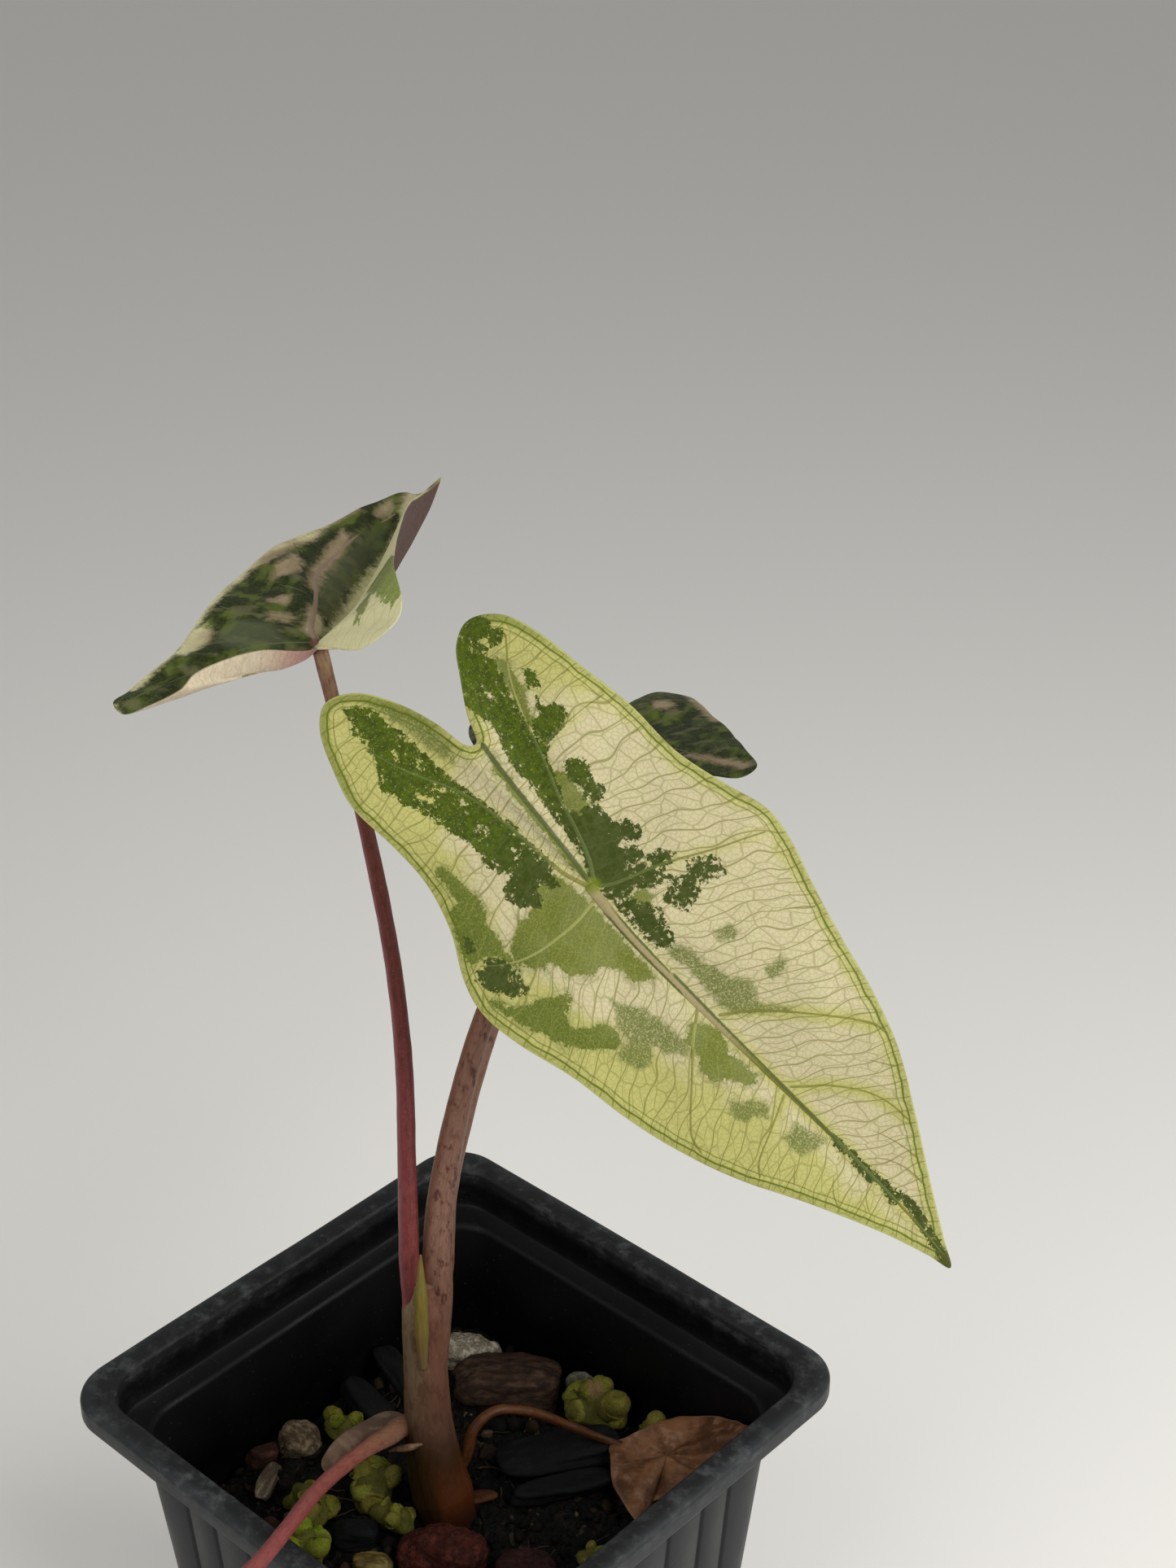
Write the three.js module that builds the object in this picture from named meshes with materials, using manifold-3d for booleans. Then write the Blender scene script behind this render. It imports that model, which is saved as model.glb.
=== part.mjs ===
// Potted alocasia with variegated arrow-shaped leaves in a 9 cm square nursery pot.
// Millimetres, +Z up. The pot stands on z = 0 with its axis on the Z axis; its +X and -Y faces meet
// in the front corner. Leaves are thin solids in their own axes: X to the tip, Y to the left, Z up.
import * as THREE from 'three';
import { mergeVertices } from 'three/addons/utils/BufferGeometryUtils.js';
import Module from 'manifold-3d';

const wasm = await Module();
wasm.setup();

// Driving dimensions
const CLEARANCE = 0.35; // gap left where two pieces touch
const BLADE_THICKNESS = 0.8;
const POT = {
  height: 90,
  baseHalf: 31.5,
  bodyTopHalf: 38.5, // of the tapered wall, carried on up to the foot of the lip
  bodyCornerRatio: 0.21, // corner radius over half width
  rimHalf: 45,
  rimCornerRatio: 0.184,
  lipHeight: 4,
  lipWidth: 4.5,
  lipRound: 0.8,
  wall: 1.2,
  shoulderDrop: 8.5, // the band inside the mouth ends this far below the rim
  bandHalf: 40.5,
  shoulderFall: 0.6, // so water runs off the step
  grooveDepth: 0.45,
  grooveHalfWidth: 0.7,
  grooveCentres: [-24, -17.4, -9.2, 0, 9.2, 17.4, 24],
  grooveHead: 78,
  drainRadius: 4,
  drainAt: 20,
};
const STRAIGHT_SHARE = 0.99; // of a rounded square's straight side that grooves may take up
const SOIL = {
  level: 61,
  drop: 0.6, // of the surface towards the wall
  lumps: 1.3,
  rings: 7,
  footRise: 2, // of the slope round the foot
  sideDrop: 4, // the side ends this far below the level
  edgeDrop: 2, // where the surface takes its width from the wall
};
// The lower stem, in which the leaf sheaths wrap each other.
const CROWN = {
  path: [
    [-0.5, -2.3, 57.3], [-1.9, -1.9, 63.5], [-3.7, -2.1, 70.9], [-5, -1.9, 80.4], [-5.9, -1.3, 93.4],
    [-6.1, -0.7, 107.5],
  ],
  radii: [4.6, 5, 4, 3.6, 3.5, 3.5, 3.4],
  sides: 14,
  steps: 10,
};

const COLOURS = {
  potPlastic: 0x23262b,
  soil: 0x17130f,
  root: 0xb98a5a,
  crown: 0x9a6f55,
  sheath: 0xb3b052,
  pinkStalk: 0xa24a55,
  flecked: 0x9c6a5c,
  deadStalk: 0x8a4f22,
  creamBlade: 0xcfd68c,
  darkBlade: 0x4f6d3a,
  deadBlade: 0x7d4a2c,
  bark: 0x5a3a30,
  pumice: 0xb8ac98,
  slate: 0x4a5058,
  moss: 0xa3a832,
  redClay: 0x7c3a30,
  beige: 0xa1917a,
};

const radians = THREE.MathUtils.degToRad;
const vector = (x, y, z) => new THREE.Vector3(x, y, z);

// A closed solid from rings of equal length, each end closed by a fan round the ring's middle.
function loft(rings) {
  const count = rings[0].length;
  const middleOf = (ring) => ring
    .reduce((sum, point) => sum.add(point), new THREE.Vector3())
    .divideScalar(count);
  const points = [...rings.flat(), middleOf(rings[0]), middleOf(rings.at(-1))];
  const firstMiddle = points.length - 2;
  const lastMiddle = points.length - 1;
  const lastRing = (rings.length - 1) * count;
  const index = [];
  for (let i = 0; i < count; i++) {
    const next = (i + 1) % count;
    index.push(firstMiddle, next, i);
    index.push(lastMiddle, lastRing + i, lastRing + next);
    for (let r = 0; r < rings.length - 1; r++) {
      const a = r * count + i;
      const b = r * count + next;
      index.push(a, b, b + count, a, b + count, a + count);
    }
  }
  return indexed(points, index);
}

function indexed(points, index) {
  const geometry = new THREE.BufferGeometry().setFromPoints(points);
  geometry.setIndex(index);
  return geometry;
}

// A tube along a smooth curve, its radius read evenly along the list of radii, and grown all round
// by a margin where it is used as a cutter.
function tube({ path, radii, sides = 8, steps = 14 }, grow = 0) {
  const curve = new THREE.CatmullRomCurve3(path.map((p) => vector(...p)), false, 'centripetal');
  const frames = curve.computeFrenetFrames(steps, false);
  const rings = [];
  for (let i = 0; i <= steps; i++) {
    const centre = curve.getPointAt(i / steps);
    if (i === 0) centre.addScaledVector(frames.tangents[i], -grow);
    if (i === steps) centre.addScaledVector(frames.tangents[i], grow);
    const place = (i / steps) * (radii.length - 1);
    const low = Math.min(Math.floor(place), radii.length - 2);
    const radius = grow + THREE.MathUtils.lerp(radii[low], radii[low + 1], place - low);
    const ring = [];
    for (let k = 0; k < sides; k++) {
      const angle = (k / sides) * 2 * Math.PI;
      ring.push(centre.clone()
        .addScaledVector(frames.normals[i], radius * Math.cos(angle))
        .addScaledVector(frames.binormals[i], radius * Math.sin(angle)));
    }
    rings.push(ring);
  }
  return loft(rings);
}

// The manifold solid of a geometry, and back again.
function solidOf(geometry) {
  const bare = new THREE.BufferGeometry();
  bare.setAttribute('position', geometry.getAttribute('position'));
  bare.setIndex(geometry.index);
  const merged = mergeVertices(bare, 1e-4);
  return new wasm.Manifold(new wasm.Mesh({
    numProp: 3,
    vertProperties: new Float32Array(merged.attributes.position.array),
    triVerts: new Uint32Array(merged.index.array),
  }));
}

function geometryOf(solid) {
  const { vertProperties, triVerts } = solid.getMesh();
  const geometry = new THREE.BufferGeometry();
  geometry.setAttribute('position', new THREE.BufferAttribute(vertProperties, 3));
  geometry.setIndex(new THREE.BufferAttribute(triVerts, 1));
  return geometry;
}

const join = (geometries) => geometryOf(geometries.map(solidOf).reduce((whole, piece) => whole.add(piece)));

// A cut may leave scraps, so only the largest body is kept.
function cut(geometry, cutters) {
  const rest = cutters.reduce((solid, cutter) => solid.subtract(solidOf(cutter)), solidOf(geometry));
  const bodies = rest.decompose();
  bodies.sort((a, b) => b.volume() - a.volume());
  return geometryOf(bodies[0]);
}

// A smooth closed curve through rows of numbers, uniform Catmull-Rom.
function onClosedCurve(rows, t) {
  const place = t * rows.length;
  const i = Math.floor(place);
  const f = place - i;
  const [p0, p1, p2, p3] = [-1, 0, 1, 2].map((step) => rows[(i + step + rows.length) % rows.length]);
  return p1.map((_, k) => 0.5 * (2 * p1[k] + (p2[k] - p0[k]) * f
    + (2 * p0[k] - 5 * p1[k] + 4 * p2[k] - p3[k]) * f * f
    + (3 * p1[k] - p0[k] - 3 * p2[k] + p3[k]) * f * f * f));
}

// A leaf blade: spokes run from its junction to the outline, whose rows are along, left, bulge
// of the spoke's middle, and lift of the margin. Both faces are split into triangles alike.
function blade({ outline, rings, spokes }, thickness = BLADE_THICKNESS) {
  const points = [vector(0, 0, 0)];
  for (let r = 1; r <= rings; r++) {
    const u = r / rings;
    for (let s = 0; s < spokes; s++) {
      const [along, left, bulge, lift] = onClosedCurve(outline, s / spokes);
      points.push(vector(u * along, u * left, u * lift + 4 * bulge * u * (1 - u)));
    }
  }
  const upper = [];
  for (let s = 0; s < spokes; s++) {
    const next = (s + 1) % spokes;
    upper.push(0, 1 + s, 1 + next);
    for (let r = 1; r < rings; r++) {
      const a = 1 + (r - 1) * spokes + s;
      const b = 1 + (r - 1) * spokes + next;
      upper.push(a, a + spokes, b + spokes, a, b + spokes, b);
    }
  }
  const middle = indexed(points, upper);
  middle.computeVertexNormals();
  const normals = middle.getAttribute('normal');
  const shifted = (side) => points.map((point, i) => point.clone()
    .addScaledVector(new THREE.Vector3().fromBufferAttribute(normals, i), side * thickness / 2));
  const under = points.length;
  const index = [...upper];
  for (let i = 0; i < upper.length; i += 3) {
    index.push(under + upper[i], under + upper[i + 2], under + upper[i + 1]);
  }
  const edge = 1 + (rings - 1) * spokes;
  for (let s = 0; s < spokes; s++) {
    const a = edge + s;
    const b = edge + ((s + 1) % spokes);
    index.push(a, under + a, under + b, a, under + b, b);
  }
  return indexed([...shifted(1), ...shifted(-1)], index);
}

// Where a blade sits: heading from +X, pitch of its tip above level, roll of its left side down.
function bladeMatrix({ joint, heading, pitch, roll }) {
  const turn = new THREE.Euler(-radians(roll), -radians(pitch), radians(heading), 'ZYX');
  return new THREE.Matrix4().makeRotationFromEuler(turn).setPosition(...joint);
}

// A lump of bark, clay, moss or stone: a ball drawn out to a box as squareness grows from 2,
// roughened by waves of the direction, and grown by a margin where it is used as a cutter.
function lump(spec, grow = 0) {
  const { size, at, turn = 0, tilt = 0, squareness = 2.6, rough = 0.08, seed, detail = 1 } = spec;
  const geometry = new THREE.IcosahedronGeometry(1, detail);
  const position = geometry.getAttribute('position');
  const point = new THREE.Vector3();
  for (let i = 0; i < position.count; i++) {
    point.fromBufferAttribute(position, i).normalize();
    const power = [point.x, point.y, point.z].reduce((sum, c) => sum + Math.abs(c) ** squareness, 0);
    const wave = Math.sin(3.1 * point.x + seed) * Math.sin(2.7 * point.y + 2 * seed)
      + Math.sin(4.3 * point.z + 3 * seed + 2 * point.x);
    point.multiplyScalar(power ** (-1 / squareness) * (1 + rough * wave));
    point.multiply(vector(...size.map((s) => s / 2 + grow)));
    position.setXYZ(i, point.x, point.y, point.z);
  }
  geometry.deleteAttribute('normal');
  geometry.deleteAttribute('uv');
  geometry.applyMatrix4(new THREE.Matrix4().makeRotationFromEuler(
    new THREE.Euler(0, radians(tilt), radians(turn), 'ZYX'),
  ).setPosition(...at));
  return geometry;
}

// A rounded square ring at one height. Stations are places along each side, drawn together where
// its straight stretch is too short for them; sunk ones step inwards.
function squareRing(half, z, stations, cornerSteps, cornerRatio) {
  const ring = [];
  const corner = half * cornerRatio;
  const straight = half - corner;
  const furthest = Math.max(...stations.map(({ along }) => along));
  const squeeze = Math.min(1, (straight * STRAIGHT_SHARE) / furthest);
  for (let side = 0; side < 4; side++) {
    const turn = side * Math.PI / 2;
    const place = (out, along) => ring.push(vector(
      out * Math.cos(turn) - along * Math.sin(turn),
      out * Math.sin(turn) + along * Math.cos(turn),
      z,
    ));
    for (const { along, sunk = 0 } of stations) place(half - sunk, along * squeeze);
    for (let i = 0; i <= cornerSteps; i++) {
      const angle = (i / cornerSteps) * Math.PI / 2;
      place(straight + corner * Math.cos(angle), straight + corner * Math.sin(angle));
    }
  }
  return ring;
}

const bodyHalfAt = (z) => THREE.MathUtils.mapLinear(
  z,
  0,
  POT.height - POT.lipHeight,
  POT.baseHalf,
  POT.bodyTopHalf,
);

// The pot: outside from the base to the lip, then down the inside to the floor.
function makePot() {
  const lipFoot = POT.height - POT.lipHeight;
  const shoulder = POT.height - POT.shoulderDrop;
  const lipInner = POT.rimHalf - POT.lipWidth;
  const stations = (depth) => POT.grooveCentres.flatMap((centre) => [
    { along: centre - POT.grooveHalfWidth },
    { along: centre, sunk: depth },
    { along: centre + POT.grooveHalfWidth },
  ]);
  const wallRing = (half, z, depth = 0) => squareRing(half, z, stations(depth), 4, POT.bodyCornerRatio);
  const rimRing = (half, z) => squareRing(half, z, stations(0), 4, POT.rimCornerRatio);
  const rings = [
    wallRing(POT.baseHalf - POT.lipRound, 0),
    wallRing(POT.baseHalf, POT.lipRound, POT.grooveDepth),
    wallRing(bodyHalfAt(POT.grooveHead), POT.grooveHead, POT.grooveDepth),
    wallRing(bodyHalfAt(shoulder - POT.wall), shoulder - POT.wall),
    rimRing(POT.bandHalf + POT.wall, shoulder - POT.shoulderFall),
    rimRing(POT.bandHalf + POT.wall, lipFoot),
    rimRing(POT.rimHalf - POT.lipRound, lipFoot),
    rimRing(POT.rimHalf, lipFoot + POT.lipRound),
    rimRing(POT.rimHalf, POT.height - POT.lipRound),
    rimRing(POT.rimHalf - POT.lipRound, POT.height),
    rimRing(lipInner + POT.lipRound, POT.height),
    rimRing(lipInner, POT.height - POT.lipRound),
    rimRing(POT.bandHalf, shoulder + POT.shoulderFall),
    wallRing(bodyHalfAt(shoulder) - POT.wall, shoulder),
    wallRing(bodyHalfAt(2 * POT.wall) - POT.wall, 2 * POT.wall),
    wallRing(bodyHalfAt(POT.wall) - 2 * POT.wall, POT.wall),
  ];
  const drains = [[1, 1], [1, -1], [-1, 1], [-1, -1]].map(([x, y]) => {
    const hole = new THREE.CylinderGeometry(POT.drainRadius, POT.drainRadius, 3 * POT.wall, 12);
    hole.rotateX(Math.PI / 2);
    hole.translate(x * POT.drainAt, y * POT.drainAt, POT.wall / 2);
    return hole;
  });
  return cut(loft(rings), drains);
}

// The soil's surface, lower at the wall than in the middle, with smooth lumps.
function soilHeight(x, y) {
  const spread = Math.hypot(x, y) / POT.bodyTopHalf;
  const lumps = Math.sin(0.31 * x + 1.1) * Math.cos(0.27 * y - 0.4) + 0.6 * Math.sin(0.7 * x - 0.5 * y + 2);
  return SOIL.level - SOIL.drop * spread * spread + SOIL.lumps * lumps * 0.5;
}

function makeSoil(cutters) {
  const foot = POT.wall + CLEARANCE;
  const stations = [-0.55, -0.28, 0, 0.28, 0.55];
  const ringAt = (half, height) => {
    const places = stations.map((along) => ({ along: along * half }));
    const ring = squareRing(half, 0, places, 3, POT.bodyCornerRatio);
    ring.forEach((point) => point.setZ(height(point.x, point.y)));
    return ring;
  };
  const sideHalf = (z) => bodyHalfAt(z) - POT.wall - CLEARANCE;
  const rings = [ringAt(sideHalf(foot) - POT.wall, () => foot)];
  const slopeTop = foot + SOIL.footRise;
  const sideTop = SOIL.level - SOIL.sideDrop;
  const edgeHalf = sideHalf(SOIL.level - SOIL.edgeDrop);
  rings.push(ringAt(sideHalf(slopeTop), () => slopeTop));
  rings.push(ringAt(sideHalf(sideTop), () => sideTop));
  for (let r = SOIL.rings; r >= 1; r--) {
    rings.push(ringAt(edgeHalf * (r / SOIL.rings), soilHeight));
  }
  return cut(loft(rings), cutters);
}

// The leaves. Outline rows: along, left, bulge, lift.
const FRONT_OUTLINE = [
  [74.4, 0, 0.4, -3], [64, 5.8, 0.4, -2], [54.5, 11.3, 0.4, -0.5], [46, 15.8, 0.4, 0.5],
  [38, 18.6, 0.4, 0], [30, 20.5, 0.4, -1], [22, 22.6, 0.4, -1], [15, 24.7, 0.4, 0],
  [9, 25.4, 0.4, 0.5], [2, 23.4, 0.4, 0.3], [-6, 21.6, 0.4, -0.5], [-15, 21.4, 0.4, -0.5],
  [-23, 20.2, 0.4, 0.3], [-31, 19, 0.4, 0.5], [-36.5, 17, 0.4, 0], [-39.4, 13, 0.4, -1],
  [-38, 9.2, 0.4, -1], [-33.8, 6.2, 0.4, 0], [-29.6, 3.6, 0.4, 1], [-26, 2, 0.4, 1],
  [-27, 0.4, 0.4, 1], [-31.7, -0.4, 0.4, 1], [-37.5, -2.4, 0.4, 0], [-42.6, -5.6, 0.4, -1],
  [-44.8, -9.8, 0.4, -1.5], [-42.4, -13.2, 0.4, -1], [-37, -15.6, 0.4, 0], [-31, -17.2, 0.4, 0.5],
  [-23, -16.8, 0.4, 0], [-16, -17.1, 0.4, -1], [-9, -19.2, 0.4, -1.5], [-3, -22.4, 0.4, -1],
  [2.5, -23.8, 0.4, 0], [9, -23, 0.4, 0.5], [18, -20.6, 0.4, 0.3], [27, -19.2, 0.4, -0.5],
  [35, -17.2, 0.4, -1], [44, -13.8, 0.4, -1], [54, -8.6, 0.4, -1], [64, -4, 0.4, -2],
];
const BACK_LEFT_OUTLINE = [
  [67.5, 0.5, -5, -1], [57, 1.5, -4, 0.5], [56, 3.5, -3.5, 1], [54.5, 5.5, -3, 1],
  [45.5, 8.5, -2, 1.5], [39.5, 12.5, 0, 0.5], [29, 16.5, 1, 1.5], [20.5, 19.5, 1, 0],
  [7.5, 19.5, 1, 1], [-3, 20, 1, -0.5], [-12.5, 20.5, 1, 0], [-19.5, 22, 0, -0.5],
  [-25, 22, 0, 0.5], [-28, 19, 0, 0.5], [-27, 15.5, -0.5, 2], [-25, 12, -1, 3.5],
  [-22, 11, -2, 4.5], [-19, 9, -2.5, 5], [-15, 6.5, -3, 5], [-9.5, 3.5, -2.5, 3.5],
  [-5, 1.2, -1.2, 1.2], [-3, -1, 0, 0.8], [-6.5, -6, 0, 3], [-14, -11.5, 0, 7.5],
  [-18, -16, 0.5, 12], [-17, -18.2, 1, 14.5], [-15, -18.2, 1, 16.5], [-8, -15.2, 0, 16.5],
  [-0.5, -12.5, -1, 15], [15.5, -8, -2.5, 11.5], [38.5, -2.5, -3.5, 6.5], [53, -0.5, -4, 2.5],
];
const BACK_RIGHT_OUTLINE = [
  [56, 0, 2, -15], [46, 9, 2, -10], [36, 15.5, 1, -5], [27, 20.5, 1, -1.5], [22, 23.5, 0, 0.5],
  [14, 24, 0, 0.5], [4, 22.5, 0, 0], [-8, 22, 0, -0.5], [-20, 22, 0, 0], [-30, 20.5, 0, -0.5],
  [-34.5, 16.5, 0, -1], [-32, 11.5, 0, -1], [-24, 6.5, 0, 0], [-15, 2, 0, 0.5], [-13.5, 0, 0, 0.5],
  [-15, -2, 0, 0.5], [-25, -9, 0, -0.5], [-33, -15.5, 0, -1], [-35.8, -19, 0, -1.5],
  [-33, -21.8, 0, -1], [-26.3, -20.9, 0, 0], [-17, -20, 0, 0.3], [-8, -18.8, 0, 0],
  [1.5, -17.2, 0.3, -0.3], [9.5, -16, 1.3, -0.6], [18, -14.5, 2, -1.6], [28, -12.5, 2.6, -4],
  [40, -9, 2.8, -8.5], [49, -4.5, 2.5, -12.5],
];
const DEAD_OUTLINE = [
  [14, -1.2, 1, 9], [7.4, 5.8, -0.6, 4.5], [0.5, 6.7, 0.8, 2], [-4.7, 4.3, -0.4, 1],
  [-9.7, 3.2, 0.4, -2], [-9.4, -0.6, -0.5, -2], [-8.3, -4.5, 0.6, -3], [-6.1, -8.4, 0.3, -3],
  [-4.4, -10.7, 0, -3.5], [-2.8, -11.7, 0, -4], [-1.2, -7, -0.6, -3], [1.1, -6.9, 0.6, -2],
  [4.9, -5.4, 0.9, -1], [8.7, -3.9, -0.5, 1], [11.2, -3.6, 0.7, 3], [13.4, -3, 0.2, 6],
];
// The papery sheath along the foot of the low stalk.
const PAPER_SHEATH = {
  joint: [-6, -13, 80.6], heading: -76, pitch: 12, roll: 0, rings: 3, spokes: 22,
  outline: [
    [11, -0.2, 0, -0.5], [9, 1.4, 0, 0], [5, 2.4, 0, 0.2], [-1, 2.4, 0, 0], [-7, 1.8, 0, -0.3],
    [-9.5, -0.5, 0, -0.2], [-8.5, -2.4, 0, 0.5], [-3, -3.6, 0.3, 0.8], [3, -3.6, 0.3, 0.6],
    [8.5, -2.4, 0, 0],
  ],
};
const LOW_SCALE = 0.46;
const BLADES = {
  leaf_front: {
    joint: [17.2, 12.6, 184.7], heading: 14.8, pitch: -39.1, roll: -50.6,
    outline: FRONT_OUTLINE, rings: 5, spokes: 64, colour: COLOURS.creamBlade,
  },
  leaf_back_left: {
    joint: [-35.2, 9.4, 206.1], heading: 119, pitch: 0, roll: 0,
    outline: BACK_LEFT_OUTLINE, rings: 5, spokes: 60, colour: COLOURS.darkBlade,
  },
  leaf_back_right: {
    joint: [-24.8, 63.3, 173], heading: 134, pitch: -12, roll: 10,
    outline: BACK_RIGHT_OUTLINE, rings: 4, spokes: 48, colour: COLOURS.darkBlade,
  },
  leaf_low: {
    joint: [16.4, -81.5, 87.5], heading: -76, pitch: -52, roll: 6,
    outline: FRONT_OUTLINE.map((row) => row.map((size) => size * LOW_SCALE)),
    rings: 3, spokes: 40, colour: COLOURS.creamBlade,
  },
  leaf_dead: {
    joint: [22, 26.5, 69], heading: 33, pitch: 0, roll: 0,
    outline: DEAD_OUTLINE, rings: 4, spokes: 28, colour: COLOURS.deadBlade,
  },
};

// The stalks, from the crown to their blades.
const STALKS = {
  petiole_back_left: {
    path: [
      [-6.9, -2, 104], [-7.9, -2.1, 109.5], [-9, -1, 118], [-11.7, 1.7, 127.9], [-15.8, 5.6, 142.5],
      [-20.3, 8.2, 157.4], [-25.6, 10, 172], [-30.2, 10.7, 185.6], [-33.5, 10.3, 197.1],
      [-35.1, 9.6, 205.6],
    ],
    radii: [1.7, 1.6, 1.45, 1.4, 1.3, 1.25, 1.2, 1.1, 1],
    blade: 'leaf_back_left', colour: COLOURS.pinkStalk,
  },
  petiole_front: {
    path: [
      [-5.2, 1.2, 104], [-5.5, 1.6, 109], [-6.7, 3.6, 118.4], [-7.5, 7.1, 128.6], [-7.2, 10.4, 139.6],
      [-4.8, 13.4, 152.9], [-1.2, 15.1, 161], [4.6, 16.5, 170], [11, 16, 178.4], [17.2, 12.6, 184.7],
    ],
    radii: [2.4, 2.35, 2.15, 1.95, 1.85, 1.8, 1.75, 1.7, 1.6],
    blade: 'leaf_front', colour: COLOURS.flecked,
  },
  petiole_back_right: {
    path: [
      [-6.2, 0.4, 91.5], [-7.1, 3, 98.5], [-8.2, 5.4, 105.8], [-10.8, 9.2, 116.3], [-14.4, 18, 128.7],
      [-17.4, 26.4, 137.2], [-22.1, 41.6, 151.5], [-25.1, 55.3, 164.8], [-24.8, 63.3, 173],
    ],
    radii: [1.8, 1.8, 1.7, 1.6, 1.5, 1.4],
    blade: 'leaf_back_right', colour: COLOURS.flecked,
  },
  petiole_low: {
    path: [
      [-5.2, -2.4, 75.5], [-4.6, -8, 78.5], [-3.2, -14, 81], [-1.2, -20.5, 83.4], [2.8, -30.5, 87.8],
      [7, -40, 91.6], [10, -49, 93.8], [13, -62, 96.2], [15.2, -73, 95.6], [16.4, -81.5, 87.5],
    ],
    radii: [2, 1.8, 1.6, 1.5, 1.45, 1.4, 1.2, 1.1],
    blade: 'leaf_low', paper: PAPER_SHEATH, colour: COLOURS.pinkStalk,
  },
  petiole_dead: {
    path: [
      [-2.6, -1.2, 66], [-0.8, 2, 71.2], [-0.6, 4.2, 76.3], [0.4, 7.6, 78.2], [3.2, 13.2, 76.1],
      [7, 19.1, 71.3], [11.2, 23.6, 67.6],
    ],
    radii: [1.3, 1.1, 1, 1, 0.9],
    blade: 'leaf_dead', colour: COLOURS.deadStalk,
  },
};
const SHEATH_TIP = {
  path: [[-3.2, -4.3, 95], [-3.4, -4.2, 101], [-3.8, -3.7, 107], [-4.7, -2.6, 112.5]],
  radii: [0.8, 1.2, 1, 0.25],
  steps: 8,
};

// The short rootstock under the crown, with a few thick roots fused to it.
const ROOTSTOCK = { at: [-0.5, -2.3, 49.4], size: [11, 10, 14.4], fork: 47 };
const ROOT_ENDS = [[16, 6, 24], [-15, 12, 20], [4, -19, 18], [-13, -14, 28], [10, 17, 30]];

function makeRootstock(grow = 0) {
  const body = lump({ ...ROOTSTOCK, seed: 4, squareness: 2.2, detail: 1 }, grow);
  const [x, y] = ROOTSTOCK.at;
  const roots = ROOT_ENDS.map(([endX, endY, endZ]) => tube({
    path: [
      [x, y, ROOTSTOCK.fork], [endX * 0.4, endY * 0.4, 43], [endX * 0.8, endY * 0.8, 35],
      [endX, endY, endZ],
    ],
    radii: [1.8, 1.3, 0.9],
    sides: 6,
    steps: 5,
  }, grow));
  return join([body, ...roots]);
}

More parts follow.
